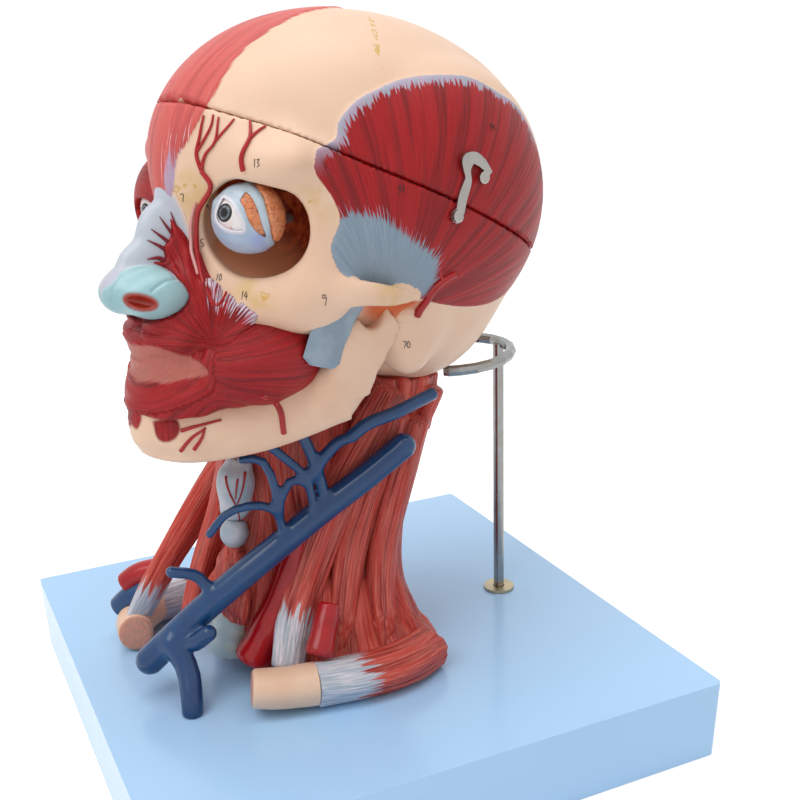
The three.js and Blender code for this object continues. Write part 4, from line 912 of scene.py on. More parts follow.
eyeSpot = headAt([[0.44, -0.83, -0.04]])[0]
pegFoot = headAt([[0.24, -0.52, -0.1]])[0]
pegAxis = unit(eyeSpot - pegFoot)
eye = {"ball": 13.75, "bulge": 0.7, "bore": 2.75, "boreFrom": 5.0, "way": 15.7,
       "lid": 14.75, "lidInside": 13.85, "gland": 14.2, "glandSwell": 1.7, "glandInside": 13.3}

# Marks on the face are measured across and up, in millimetres from the middle of the left eye,
# square to this view
viewAxes = np.array([(0.6357, 0.7715, -0.0275), (-0.2122, 0.2089, 0.9546), (0.7422, -0.601, 0.2965)])


def folded(points):
    return np.column_stack([np.abs(points[:, 0]), points[:, 1:]])


# Across and up on the face, the right half folded onto the left
def eyeChart(points):
    return (folded(points) - eyeSpot) @ viewAxes[:2].T


# Points where marks given across and up meet a form, coming from the viewer
def placeAt(field, marks):
    found = []
    for across, up in marks:
        reach = np.linspace(60, -60, 481)[:, None]
        line = eyeSpot + across * viewAxes[0] + up * viewAxes[1] + reach * viewAxes[2]
        inside = np.nonzero(field(line) < 0)[0]
        found.append(line[inside[0]] if len(inside) else line[330])
    return np.array(found)


def lowerSkull(points):
    value = skullSolid(points)
    for side in (1, -1):
        value = softCut(value, orbitDistance(points, side), orbit["edge"])
    along = np.maximum((points - eyeSpot) @ pegAxis, 0)
    way = np.linalg.norm(points - eyeSpot - along[:, None] * pegAxis, axis=1) - eye["way"]
    value = np.maximum(value, -way)
    value = np.maximum(value, -hollow(points))
    return np.maximum(value, aboveCut(points) + head["cutGap"] / 2)


def upperSkull(points):
    value = skullSolid(points)
    value = np.maximum(value, -hollow(points))
    return np.maximum(value, head["cutGap"] / 2 - aboveCut(points))


outlines = {  # in shares of the head: temple in (y, z)
    "temple": [(-0.63, 0.3), (-0.525, 0.345), (-0.49, 0.43), (-0.4, 0.52), (-0.26, 0.585), (-0.144, 0.62),
               (0.03, 0.63), (0.19, 0.61), (0.33, 0.53), (0.475, 0.43), (0.57, 0.226), (0.63, 0.0),
               (0.64, -0.25), (0.64, -0.45), (0.55, -0.6), (0.33, -0.66), (0.11, -0.64), (-0.1, -0.57),
               (-0.25, -0.5), (-0.45, -0.43), (-0.56, -0.34), (-0.6, -0.2), (-0.56, -0.06), (-0.58, 0.05),
               (-0.63, 0.15), (-0.66, 0.22)],
    "tendon": [(-0.53, -0.02), (-0.4, -0.05), (-0.28, -0.16), (-0.13, -0.31), (-0.13, -0.48), (-0.3, -0.52),
               (-0.45, -0.47), (-0.58, -0.36), (-0.64, -0.2), (-0.58, -0.06)],
    "brow": [(10.2, 33.8), (15.8, 16.1), (17.9, -1.2), (20.2, -19.5), (20.6, -34.9), (16.4, -49.9),
             (12.7, -54.9), (10.0, -62.2), (7.0, -70.0), (2.0, -75.0), (-7.5, -74), (-22.5, -54.7),
             (-41, -49.8), (-51, -29.7), (-49.5, -1.4), (-41, 24), (-30, 45.5), (-7.5, 56.6), (4, 48)],
}
fanCentre = (-33.0, -52.0)
seamLines = [
    [(0, 0.0, 1.03), (0.17, -0.045, 0.985), (0.334, -0.089, 0.925), (0.511, -0.165, 0.82),
     (0.618, -0.21, 0.719), (0.7, -0.25, 0.6)],
    [(0, 0.0, 1.03), (0, 0.3, 0.98), (0, 0.6, 0.82), (0, 0.85, 0.5)],
    [(0, 0.85, 0.5), (0.3, 0.84, 0.3), (0.6, 0.68, 0.0), (0.8, 0.45, -0.3)],
    [(0.55, -0.93, -0.3), (0.62, -0.85, -0.42), (0.7, -0.76, -0.5)],
    [(0.7, -0.69, 0.04), (0.76, -0.62, 0.03)],
    [(0.12, -1.03, 0.1), (0.2, -0.99, 0.13), (0.27, -0.97, 0.1)],
    [(0.85, -0.4, -0.5), (0.87, -0.36, -0.42)],
]
stainSpots = [(0.2, -0.99, 0.1), (0.55, -0.86, -0.42), (0.72, -0.62, 0.05), (0.3, -0.96, 0.0),
              (0.86, -0.36, -0.47)]


# Share of the socket paint and its painted shade at a point: none towards the nose, reaching further that
# way low down
def socketSide(points):
    across, up = eyeChart(points).T
    return smooth(across + 0.7 * np.maximum(-up - 4, 0), -16, -11)


def headPaint(piece, points):
    shares = (points - [0, 0, head["z"]]) / headScale
    side = np.stack([shares[:, 1] * 100, shares[:, 2] * 80], 1)
    scaled = {key: [(y * 100, z * 80) for y, z in outlines[key]] for key in ("temple", "tendon")}
    lateral = np.abs(shares[:, 0]) > 0.42
    temple = np.where(lateral, outlineDistance(side, scaled["temple"]), farOutside)
    tendon = np.where(lateral, outlineDistance(side, scaled["tendon"]), farOutside)
    chart = np.stack([points[:, 0], (side[:, 0] + side[:, 1]) / math.sqrt(2)], 1)
    brow = np.where((shares[:, 2] > -0.1) & ((shares[:, 1] < 0.5) | (shares[:, 2] > 0.5)),
                    outlineDistance(chart, outlines["brow"]), farOutside)
    skin = np.abs(braincase(points)) < 2.5
    flesh = np.where(skin, np.maximum(temple, brow), farOutside)
    # Painted shade in the hollow under the rear of the cheek arch, fading away from it
    rearArch = headAt([(0.8, -0.3, -0.5)])[0] * [0, 1, 1]
    nook = np.linalg.norm(points * [0, 1, 1] - rearArch, axis=1)
    under = (np.abs(points[:, 0]) > 52) & (points[:, 2] < rearArch[2] - 3)
    paint(piece, "underArchShade", np.where(under, 1 - smooth(nook, 8, 17), 0))
    away = side - fanCentre
    fan = np.arctan2(away[:, 0], away[:, 1])
    isBrow = brow > temple
    flow = np.where(isBrow[:, None], np.stack([chart[:, 0], chart[:, 0] * 0, chart[:, 1]], 1),
                    np.stack([fan * 62, fan * 0, np.linalg.norm(away, axis=1)], 1))
    fromRear = np.hypot(side[:, 0] - 5, side[:, 1] + 20)
    paint(piece, "temple", np.where(skin, temple, farOutside))
    paint(piece, "brow", np.where(skin, brow, farOutside))
    paint(piece, "flow", flow)
    paint(piece, "upper", smooth(side[:, 1], 12, 30) * smooth(fromRear, 40, 55))
    paint(piece, "tip", smooth(-chart[:, 1], 34, 66) * smooth(points[:, 0], 0, 6))
    paint(piece, "sinew", np.where(skin, tendon, farOutside))
    lines = seamLines + [[(-x, y, z) for x, y, z in line] for line in seamLines]
    paint(piece, "seam", lineDistance(points, lines))
    spots = headAt(stainSpots)
    near = np.min([np.linalg.norm(points - spot, axis=1) for spot in spots], axis=0)
    paint(piece, "stain", 1 - smooth(near, 4, 14))
    # The socket attribute grows with depth into the socket and drives its painted shade; the floor
    # attribute grows low down in the socket and is painted light
    socket = np.zeros(len(points))
    floorPaintedLight = np.zeros(len(points))
    for sign in (1, -1):
        place = orbitPlace(points, sign)
        inside = (orbitDistance(points, sign) < 4) & (braincase(points) < -0.6)
        deepness = smooth(-braincase(points), 0.0, 16) * socketSide(points)
        socket = np.maximum(socket, np.where(inside, deepness, 0))
        floorPaintedLight = np.maximum(floorPaintedLight, np.where(inside, smooth(-place[:, 2] - 0.5 * place[:, 0], 2, 22), 0))
    paint(piece, "socket", socket)
    paint(piece, "socketFloorPaintedLight", floorPaintedLight)
    return 0.9 * smooth(flesh, -0.6, 1.0)  # how far the painted flesh stands out


def raisePoints(piece, points, field, height):
    lean = unit(slope(field, points))
    moved = toStand(points + lean * height[:, None])
    piece.data.vertices.foreach_set("co", moved.astype(np.float32).ravel())
    piece.data.update()


skullPiece, skullPoints = fieldPiece("fineSkull", lowerSkull, (-78, -106, 172), (78, 100, 322), 1.3)
raised = headPaint(skullPiece, skullPoints) * (aboveCut(skullPoints) < -0.8)
raisePoints(skullPiece, skullPoints, lowerSkull, raised)
dress(skullPiece, "head", "bone")
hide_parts("skull")
capPiece, capPoints = fieldPiece("fineSkullCap", upperSkull, (-78, -92, 224), (78, 106, 360), 1.3,
                                 body="cap")
raised = headPaint(capPiece, capPoints) * (aboveCut(capPoints) > 0.8)
raisePoints(capPiece, capPoints, upperSkull, raised)
dress(capPiece, "head", "bone")
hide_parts("skull_cap")
print("skull and cap made")

# Lower jaw

jawBar = {"height": 13.5, "thickness": 6.5, "ramusWidth": 15.0, "ramusThickness": 4.2, "soften": 9.0,
          "blend": 5.0}
jawOvals = {"corner": (47.5, -49.7, 195.5), "cornerHalf": (4.6, 13.5, 13.5), "knob": (1.12, 1.02, 0.96),
            "knobHalf": (7.4, 5.7, 5.7), "notch": (1.08, 0.84, 1.08), "notchHalf": (12.0, 7.0, 12.0),
            "notchBlend": 3.0}
jawBodyRows = [(0.95, 0.75, 0.42), (0.82, 0.56, 0.33), (0.58, 0.36, 0.23), (0.3, 0.15, 0.2),
               (0, 0.05, 0.24)]
ramusRows = [(0.97, 0.75, 0.36), (1.01, 0.76, 0.52), (1.05, 0.8, 0.71), (1.09, 0.88, 0.86),
             (1.11, 0.96, 0.95)]
ramusWidths = [0.74, 0.88, 0.95, 0.8, 0.55]


# Distance to an oval limb: each station is [point, wide, deep]
def slabField(stations, facing, count=30, soften=0.0):
    line = curvePoints([s[0] for s in stations], count)
    sizes = alongSizes([[s[1], s[2]] for s in stations], count)
    tangent = unit(np.gradient(line, axis=0))
    facing = np.asarray(facing, float)
    deep = unit(facing - (tangent @ facing)[:, None] * tangent)
    wide = np.cross(tangent, deep)

    def field(query):
        best = np.full(len(query), 1e6)
        pick = np.zeros(len(query), int)
        for k in range(count):
            away = ((query - line[k]) ** 2).sum(1)
            closer = away < best
            best = np.where(closer, away, best)
            pick[closer] = k
        gap = query - line[pick]
        w = (gap * wide[pick]).sum(1)
        d = (gap * deep[pick]).sum(1)
        t = (gap * tangent[pick]).sum(1)
        beyond = np.where(pick == 0, -t, np.where(pick == count - 1, t, -1e3))
        a, b = sizes[pick].T
        length = np.sqrt((w / a) ** 2 + (d / b) ** 2)
        lean = np.sqrt((w / a ** 2) ** 2 + (d / b ** 2) ** 2)
        limb = length * (length - 1) / np.maximum(lean, 1e-6)
        return -softUnion(-limb, -beyond, soften) if soften else np.maximum(limb, beyond)
    return field


def ovalAt(centre, half):
    return lambda points: ovalDistance(points, centre, np.array(half))


def jawParts():
    across = [*jawBodyRows, *[(-x, y, z) for x, y, z in reversed(jawBodyRows[:-1])]]
    bar = slabField([[p, jawBar["thickness"], jawBar["height"]] for p in jawAt(across)], (0, 0, 1), 44,
                    jawBar["soften"])
    parts = [bar]
    for side in (1, -1):
        line = jawAt([(side * x, y, z) for x, y, z in ramusRows])
        ramus = [[p, jawBar["ramusWidth"] * w, jawBar["ramusThickness"]] for p, w in zip(line, ramusWidths)]
        parts.append(slabField(ramus, (side, 0, 0), 16, jawBar["soften"]))
        parts.append(ovalAt(np.array(jawOvals["corner"]) * [side, 1, 1], jawOvals["cornerHalf"]))
        parts.append(ovalAt(jawAt([jawOvals["knob"]])[0] * [side, 1, 1], jawOvals["knobHalf"]))
    return parts


jawFields = jawParts()


# Heights and front of the face's middle line, and what the forms above reach without it
frontRows = {"z": (165.0, 169.1, 174.5, 182.2, 190.0, 196.6, 202.4, 208.0, 212.2, 216.2, 219.7, 223.7,
                   228.6, 231.5),
             "y": (-117.0, -122.0, -126.2, -127.9, -127.4, -125.6, -123.2, -123.0, -124.2, -124.0, -124.4,
                   -121.0, -117.2, -114.2)}


# How far forward a form reaches on the middle line at each height
def frontOf(field, heights):
    reach = np.linspace(-150, -90, 121)
    out = []
    for z in heights:
        inside = np.nonzero(field(np.stack([reach * 0, reach, reach * 0 + z], 1)) < 0)[0]
        out.append(reach[inside[0]] if len(inside) else np.nan)
    out = np.array(out)
    known = ~np.isnan(out)
    return np.interp(heights, np.array(heights)[known], out[known])


# The same form with its middle moved forwards or back to the measured profile
def reshaped(field, low, high):
    heights = np.linspace(low, high, 24)
    move = frontOf(field, heights) - np.interp(heights, frontRows["z"], frontRows["y"])

    def moved(points):
        share = np.exp(-(points[:, 0] / 38) ** 2) * smooth(-points[:, 1], 70, 100)
        shift = np.interp(points[:, 2], heights, move) * share
        return field(points + np.stack([shift * 0, shift, shift * 0], 1))
    return moved


def jawBlank(points):
    value = jawFields[0](points)
    for part in jawFields[1:]:
        value = softUnion(value, part(points), jawBar["blend"])
    notch = jawAt([jawOvals["notch"]])[0]
    for side in (1, -1):
        bite = ovalDistance(points, notch * [side, 1, 1], np.array(jawOvals["notchHalf"]))
        value = softCut(value, bite, jawOvals["notchBlend"])
    return value


jawSolid = reshaped(jawBlank, 169, 197)
jawPiece, jawPoints = fieldPiece("fineJaw", jawSolid, (-66, -135, 158), (66, -8, 236), 1.1)
jawMarks = {
    "front": [(-53.6, -76.8), (-51.1, -76.8), (-48.6, -79.3), (-48.0, -83.7), (-50.5, -87.8),
              (-53.0, -86.2), (-54.9, -81.8)],
    "side": [(-42.9, -84.2), (-32.3, -83.6), (-31.0, -88.1), (-33.5, -91.9), (-37.9, -93.4),
             (-41.1, -91.9)],
    "twigs": [[(-30.7, -88.4), (-23.5, -86.2), (-13.4, -83.7)],
              [(-31.6, -97.2), (-26.0, -91.2), (-20.0, -87.1)],
              [(-25.7, -96.6), (-22.2, -91.9), (-20.6, -88.1)]],
    "artery": [(5.0, -73.0), (9.8, -76.8), (11.7, -80.6), (12.3, -85.6), (12.6, -90.0)],
}
jawPatch = np.maximum(*[outlineDistance(eyeChart(jawPoints), jawMarks[key]) for key in ("front", "side")])
paintFleshOnly(jawPiece, ["sinew"])
paint(jawPiece, "bare", np.where(jawPoints[:, 1] < -85, -jawPatch, 50))
paint(jawPiece, "flow", jawPoints)
dress(jawPiece, "muscle", "bone")
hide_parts("mandible")
print("lower jaw made")

# Face muscles and nose

faceRows = [[0, -1.08, -0.65, 0.34, 0.18, 0.14], [0, -1.08, -0.9, 0.32, 0.19, 0.17]]
faceSideRows = [[0.2, -0.97, -0.54, 0.15, 0.12, 0.2], [0.15, -0.99, -0.36, 0.07, 0.09, 0.17],
                [0.44, -0.79, -0.79, 0.25, 0.3, 0.25], [0.24, -0.99, -0.92, 0.2, 0.18, 0.16]]
lipRows = [[0, -1.2, -0.67, 0.16, 0.05, 0.06], [0, -1.215, -0.85, 0.16, 0.05, 0.06]]
faceField = ovalField(ovals(faceRows) + ovals(faceSideRows, both=True), 8.0)
lipField = ovalField(ovals(lipRows), 3.0)
mouthCentre = headAt([[0, -1.26, -0.765]])[0]


def faceBlank(points):
    return softUnion(faceField(points), lipField(points), 6.0)


lipMark = [(-58, -50.5), (-49.9, -52.0), (-39.7, -52.9), (-32.4, -55.1), (-22.8, -58.3), (-17.0, -62.2),
           (-16.4, -64.0), (-21.4, -65.5), (-27.7, -66.4), (-35.4, -68.1), (-40.7, -67.5), (-58, -64.9)]
faceSolid = reshaped(faceBlank, 190, 231)
facePiece, facePoints = fieldPiece("fineFaceMuscles", faceSolid, (-56, -134, 166), (56, -40, 284), 1.2)


def facePaint(piece, points):
    x, z = points[:, 0], points[:, 2] - mouthCentre[2]
    ring = np.sqrt((x / 1.6) ** 2 + z ** 2)
    turn = np.arctan2(z, x / 1.6)
    ringFlow = np.stack([ring * 1.4, ring * 0, turn * 26], 1)
    corner = np.stack([np.sign(x) * 27, x * 0 - 98, x * 0 + mouthCentre[2]], 1)
    away = points - corner
    angle = np.arctan2(away[:, 2], np.hypot(away[:, 0], away[:, 1]))
    fan = np.stack([angle * 40, away[:, 0] * 0.2, np.linalg.norm(away, axis=1)], 1)
    isRing = (ring < 24) & (points[:, 1] < -95)
    paint(piece, "flow", np.where(isRing[:, None], ringFlow, fan))
    paintFleshOnly(piece)
    lips = np.where(points[:, 1] < -85, outlineDistance(eyeChart(points), lipMark), farOutside)
    paint(piece, "lips", lips)
    line = np.exp(-((points[:, 2] - mouthCentre[2] - 0.004 * x ** 2) / 1.0) ** 2) * smooth(lips, 1, 4)
    grooves = np.sin(angle * 14) * 0.35 * ~isRing + np.sin(ring * 1.25) * 0.3 * isRing
    return (grooves + 0.6) * (1 - smooth(lips, -0.8, 1.2)) - 0.9 * smooth(lips, -0.8, 1.2) - 0.8 * line


raisePoints(facePiece, facePoints, faceSolid, facePaint(facePiece, facePoints))
materials["face"] = muscleMaterial("paintedFace", width=0.9)
dress(facePiece, "face", "muscle")
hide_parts("facial_muscles")

noseRows = [[0, -1.24, -0.4, 0.12, 0.115, 0.12], [0.13, -1.14, -0.42, 0.13, 0.16, 0.125],
            [-0.13, -1.14, -0.42, 0.13, 0.16, 0.125], [0, -1.17, -0.28, 0.08, 0.1, 0.12],
            [0, -1.06, -0.2, 0.1, 0.12, 0.24], [0, -0.95, -0.03, 0.085, 0.09, 0.2]]
noseMarks = {
    "wing": [(-60, -30.5), (-55.3, -26.9), (-52.2, -22.5), (-47.5, -20.0), (-42.4, -19.1), (-37.3, -19.8),
             (-32.6, -22.8), (-30.0, -25.7), (-27.2, -28.3), (-24, -32.4), (-25, -38), (-33.6, -44),
             (-44.4, -44), (-60, -40)],
    "groove": [(-30.3, -25.1), (-33.7, -26.3), (-36.8, -28.9), (-38.7, -30.8)],
    "tip": [(-51.5, -24.0), (-55.0, -29.5), (-56.0, -35.0)],
    "hole": {"middle": (-43.2, -35.2), "half": (7.0, 2.9, 4.5), "lean": -0.16},
}
noseField = ovalField(ovals(noseRows), 5.0)
holeSpot = placeAt(noseField, [noseMarks["hole"]["middle"]])[0]


def holeDistance(points):
    hole = noseMarks["hole"]
    u, v, t = ((folded(points) - holeSpot) @ viewAxes.T).T
    return ovalDistance(np.stack([u, v - hole["lean"] * u, t], 1), np.zeros(3), np.array(hole["half"]))


def noseSolid(points):
    bone = skullSolid(points)
    value = softUnion(noseField(points), bone, 7.0)
    value = softCut(value, holeDistance(points), 1.2)
    return np.maximum(np.maximum(value, value - bone + 0.15), -1.0 - bone)


nosePiece, nosePoints = fieldPiece("fineNose", noseSolid, (-26, -140, 224), (26, -78, 298), 0.6)
noseSpot = eyeChart(nosePoints)
wing = outlineDistance(noseSpot, noseMarks["wing"])
groove, tipLine = [outlineDistance(noseSpot, noseMarks[key], closed=False) for key in ("groove", "tip")]
carved = np.exp(-(groove / 0.7) ** 2) * smooth(-nosePoints[:, 1], 96, 104)
carved = carved + 0.5 * np.exp(-(tipLine / 0.5) ** 2)
paint(nosePiece, "wing", wing)
paint(nosePiece, "hole", smooth(-holeDistance(nosePoints), -1.3, -0.4))
paint(nosePiece, "bone", 1 - smooth(skullSolid(nosePoints), 0.05, 0.7))
outside = skullSolid(nosePoints) > 0
raisePoints(nosePiece, nosePoints, noseSolid, outside * (0.6 * smooth(wing, -0.6, 0.6) - 0.7 * carved))


# Grey sheet over the bridge, blue-green wings and brown nostrils
def noseMaterial():
    material, tree, shader = newMaterial("paintedNose", roughness=0.36, coat=0.12)
    cover = mottled(tree, "gristleWhite", "lilac", 0.35, 55.0)
    wings = mottled(tree, "gristle", "gristlePale", 0.6, 45.0)
    mask = edgeMask(tree, attributeOf(tree, "wing"), 0.5, 0.0, 0.6)
    colour = mixed(tree, mask, cover["Colour"], wings["Colour"])
    colour = mixed(tree, attributeOf(tree, "hole"), colour, tones["nostril"])
    boneShare = calc(tree, "MULTIPLY", attributeOf(tree, "bone"), calc(tree, "SUBTRACT", 1.0, mask))
    colour = mixed(tree, boneShare, colour, tones["bone"])
    tree.links.new(colour, shader.inputs["Base Color"])
    bumped(tree, shader, cover["Height"], 0.3, 0.0001)
    return material


materials["nose"] = noseMaterial()
dress(nosePiece, "nose", "cartilage")
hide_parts("nose_cartilage")
print("face and nose made")

# Neck

neckLimbs = {
    "left_sternomastoid": {"rows": [(0.68, -0.2, 0.953, 0.16, 0.11), (0.51, -0.43, 0.78, 0.18, 0.12),
                                    (0.36, -0.72, 0.577, 0.2, 0.13), (0.29, -0.99, 0.374, 0.2, 0.13),
                                    (0.34, -1.22, 0.237, 0.18, 0.12), (0.48, -1.44, 0.09, 0.16, 0.1)],
                           "facing": (0.9, -0.45, 0), "tendonFrom": 0.82},
    "right_sternomastoid": {"rows": [(-0.98, -0.36, 0.97, 0.16, 0.11), (-1.08, -0.78, 0.73, 0.18, 0.13),
                                     (-1.23, -1.3, 0.47, 0.2, 0.14), (-1.31, -1.8, 0.25, 0.18, 0.12),
                                     (-1.42, -2.12, 0.06, 0.17, 0.1)],
                            "facing": (-1, -0.5, 0), "tendonFrom": 0.84},
    "left_strap_muscle": {"rows": [(-0.25, -1.24, 0.74, 0.14, 0.09), (-0.14, -1.22, 0.52, 0.16, 0.1),
                                   (-0.08, -1.3, 0.32, 0.16, 0.1), (-0.07, -1.43, 0.13, 0.15, 0.1)],
                          "facing": (0.4, -1, 0)},
    "right_strap_muscle": {"rows": [(-0.78, -1.25, 0.93, 0.13, 0.09), (-0.73, -1.2, 0.74, 0.16, 0.1),
                                    (-0.74, -1.32, 0.54, 0.18, 0.11), (-0.78, -1.58, 0.32, 0.18, 0.11),
                                    (-0.79, -1.78, 0.13, 0.16, 0.1)], "facing": (-0.5, -1, 0)},
    "left_clavicle": {"rows": [(0.56, -1.89, 0.09, 0.2, 0.18), (0.7, -1.64, 0.08, 0.21, 0.19),
                               (0.82, -1.35, 0.074, 0.22, 0.2)],
                      "facing": (0, 0, 1), "bare": True, "round": (0.8, 1.0)},
    "right_clavicle": {"rows": [(-1.24, -2.16, 0.072, 0.18, 0.2), (-1.53, -2.01, 0.068, 0.19, 0.21),
                                (-1.73, -1.68, 0.066, 0.19, 0.19)],
                       "facing": (0, 0, 1), "bare": True, "round": (0.8, 1.0)},
    "left_shoulder_muscle": {"rows": [(0.82, -1.35, 0.074, 0.22, 0.2), (0.96, -0.92, 0.066, 0.24, 0.2),
                                      (1.02, -0.47, 0.062, 0.26, 0.2), (0.93, 0.01, 0.058, 0.24, 0.19)],
                             "facing": (0, 0, 1), "tendonTo": 0.35, "round": (1.0, 0.6)},
    "right_shoulder_muscle": {"rows": [(-1.73, -1.68, 0.066, 0.19, 0.19), (-1.7, -1.15, 0.064, 0.23, 0.2),
                                       (-1.58, -0.7, 0.062, 0.25, 0.2), (-1.36, -0.26, 0.058, 0.24, 0.19)],
                              "facing": (0, 0, 1), "tendonTo": 0.3, "round": (1.0, 0.6)},
}
pairedLimbs = {
    "scalene_front": {"rows": [(0.66, -0.14, 0.868, 0.15, 0.12), (0.49, -0.32, 0.646, 0.17, 0.13),
                               (0.4, -0.54, 0.434, 0.18, 0.14), (0.46, -0.72, 0.235, 0.18, 0.13),
                               (0.6, -0.92, 0.08, 0.12, 0.06)], "facing": (1, 0, 0)},
    "scalene_back": {"rows": [(0.68, 0.11, 0.834, 0.16, 0.12), (0.55, -0.08, 0.593, 0.17, 0.14),
                              (0.49, -0.23, 0.392, 0.18, 0.14), (0.57, -0.33, 0.214, 0.18, 0.13),
                              (0.78, -0.45, 0.07, 0.12, 0.06)], "facing": (1, 0.3, 0)},
    "trapezius": {"rows": [(0.4, 0.53, 0.9, 0.24, 0.14), (0.27, 0.19, 0.66, 0.24, 0.15),
                           (0.26, -0.01, 0.44, 0.26, 0.17), (0.34, -0.07, 0.24, 0.26, 0.17),
                           (0.66, 0.0, 0.05, 0.22, 0.08)], "facing": (0.5, 1, 0)},
}
neckMiddle = -0.22
farTop = 0.3
for limbName, limb in pairedLimbs.items():
    neckLimbs["left_" + limbName] = limb
    rows = [(2 * neckMiddle - x, *rest) for x, *rest in limb["rows"]]
    rows[0] = (*rows[0][:3], rows[0][3] * farTop, rows[0][4] * farTop)
    neckLimbs["right_" + limbName] = {"rows": rows, "facing": (-limb["facing"][0], *limb["facing"][1:])}


def furrows(angle, share):
    return 0.05 * np.sin(angle * 5 + 1.3 * np.sin(share * 5)) + 0.03 * np.sin(angle * 13 + share * 4)


def ovalStations(rows):
    return [[p, w * neck["width"], d * neck["width"]] for p, (*_, w, d) in zip(neckAt(rows), rows)]


for limbName, limb in neckLimbs.items():
    isBare = limb.get("bare", False)
    piece = limbPiece("fine_" + limbName, ovalStations(limb["rows"]), steps=44, sides=36,
                      facing=limb["facing"],
                      ridge=None if isBare else furrows, roundness=limb.get("round", 0.6))
    count = len(piece.data.vertices)
    co = np.empty(count * 3, np.float32)
    piece.data.vertices.foreach_get("co", co)
    co = co.reshape(-1, 3)
    co[:, 2] = np.maximum(co[:, 2], standTop / 1000)
    piece.data.vertices.foreach_set("co", co.ravel())
    shares = np.empty(count, np.float32)
    piece.data.attributes["share"].data.foreach_get("value", shares)
    length = np.linalg.norm(np.diff(neckAt(limb["rows"]), axis=0), axis=1).sum()
    sinew = np.full(count, farOutside)
    if "tendonFrom" in limb:
        sinew = (shares - limb["tendonFrom"]) * length
    if "tendonTo" in limb:
        sinew = (limb["tendonTo"] - shares) * length
    paint(piece, "sinew", sinew)
    paint(piece, "bare", np.where(shares < 0.02, 0.0, 50.0) if isBare else np.full(count, farOutside))
    dress(piece, "neckMuscle", "bone" if isBare else "muscle")
    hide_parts(limbName)

# The column that the neck's muscles lie on, with the low skirt that joins their feet
coreRows = [(-0.26, -0.31, 0.004, 0.9, 0.82), (-0.27, -0.33, 0.08, 0.74, 0.72),
            (-0.27, -0.33, 0.22, 0.66, 0.7), (-0.23, -0.35, 0.42, 0.6, 0.7),
            (-0.17, -0.12, 0.66, 0.62, 0.74), (-0.16, 0.08, 0.85, 0.68, 0.78),
            (-0.15, 0.14, 0.96, 0.7, 0.74)]
skirtRows = [
    (0.52, -0.42, -0.02, 0.6, 0.8, 0.13), (0.36, -0.35, 0.1, 0.3, 0.52, 0.2),
    (-0.22, -0.86, 0.72, 0.56, 0.42, 0.3), (-0.9, -0.45, 0.0, 0.66, 0.85, 0.14),
    (-0.85, -0.45, 0.14, 0.4, 0.65, 0.26), (-0.75, -1.0, 0.2, 0.35, 0.5, 0.42),
    (-0.22, -1.2, 0.34, 0.22, 0.3, 0.22), (0.2, -0.95, 0.1, 0.32, 0.4, 0.24),
]
coreTube = slabField([[p, w, d] for p, w, d in ovalStations(coreRows)], (0, 1, 0), 26)


def coreSolid(points):
    value = coreTube(points)
    for x, y, z, *half in skirtRows:
        place = neckAt([(x, y, z)])[0]
        size = np.array(half) * [neck["width"], neck["width"], neck["height"]]
        value = softUnion(value, ovalDistance(points, place, size), 15.0)
    return np.maximum(value, standTop - points[:, 2])


corePiece, corePoints = fieldPiece("fineNeckCore", coreSolid, (-82, -75, 38), (60, 48, 190), 1.5)
fromAxis = corePoints - neckAt([(neckMiddle, -0.3, 0.5)])[0]
turnAt = np.arctan2(fromAxis[:, 0], -fromAxis[:, 1])
spreadAt = np.hypot(fromAxis[:, 0], fromAxis[:, 1])
paint(corePiece, "flow", np.stack([turnAt * 34, spreadAt * 0, corePoints[:, 2] - 0.6 * spreadAt], 1))
paintFleshOnly(corePiece)
ribs = 0.8 * np.sin(turnAt * 22 + 1.5 * np.sin(corePoints[:, 2] * 0.04)) * (corePoints[:, 2] > 42)
raisePoints(corePiece, corePoints, coreSolid, ribs)
dress(corePiece, "neckMuscle", "muscle")
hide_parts("neck_core")
throatRows = [(-0.2, -1.52, 0.47, 0.08, 0.07), (-0.21, -1.55, 0.38, 0.2, 0.12),
              (-0.25, -1.59, 0.28, 0.27, 0.13), (-0.3, -1.6, 0.2, 0.25, 0.09)]
throatPiece = limbPiece("throatMuscle", ovalStations(throatRows), steps=30, sides=36, facing=(0.2, -1, 0),
                        ridge=furrows)
paintFleshOnly(throatPiece)
dress(throatPiece, "neckMuscle", "muscle")
print("neck muscles made")

voice = {
    "trachea": {"rows": [(-0.24, -1.43, 0.425, 0.15, 0.15), (-0.29, -1.5, 0.26, 0.19, 0.18),
                         (-0.37, -1.58, 0.061, 0.22, 0.2)], "round": 0.9},
    "thyroid_cartilage": {"rows": [(-0.21, -1.38, 0.74, 0.15, 0.1), (-0.2, -1.45, 0.67, 0.2, 0.17),
                                   (-0.21, -1.47, 0.58, 0.15, 0.15), (-0.22, -1.46, 0.545, 0.1, 0.11)],
                          "round": 0.5},
    "cricoid_cartilage": {"rows": [(-0.19, -1.49, 0.54, 0.11, 0.11), (-0.18, -1.52, 0.5, 0.14, 0.14),
                                   (-0.2, -1.5, 0.462, 0.11, 0.11)], "round": 0.7},
}


def windpipeRibs(angle, share):
    return 0.035 * np.sin(share * 44) + 0 * angle


for partName, part in voice.items():
    piece = limbPiece("fine_" + partName, ovalStations(part["rows"]), steps=48, sides=32,
                      facing=(0.2, -1, 0),
                      roundness=part["round"], ridge=windpipeRibs if partName == "trachea" else None)
    dress(piece, "windpipe" if partName == "trachea" else "throat", "cartilage")
    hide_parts(partName)

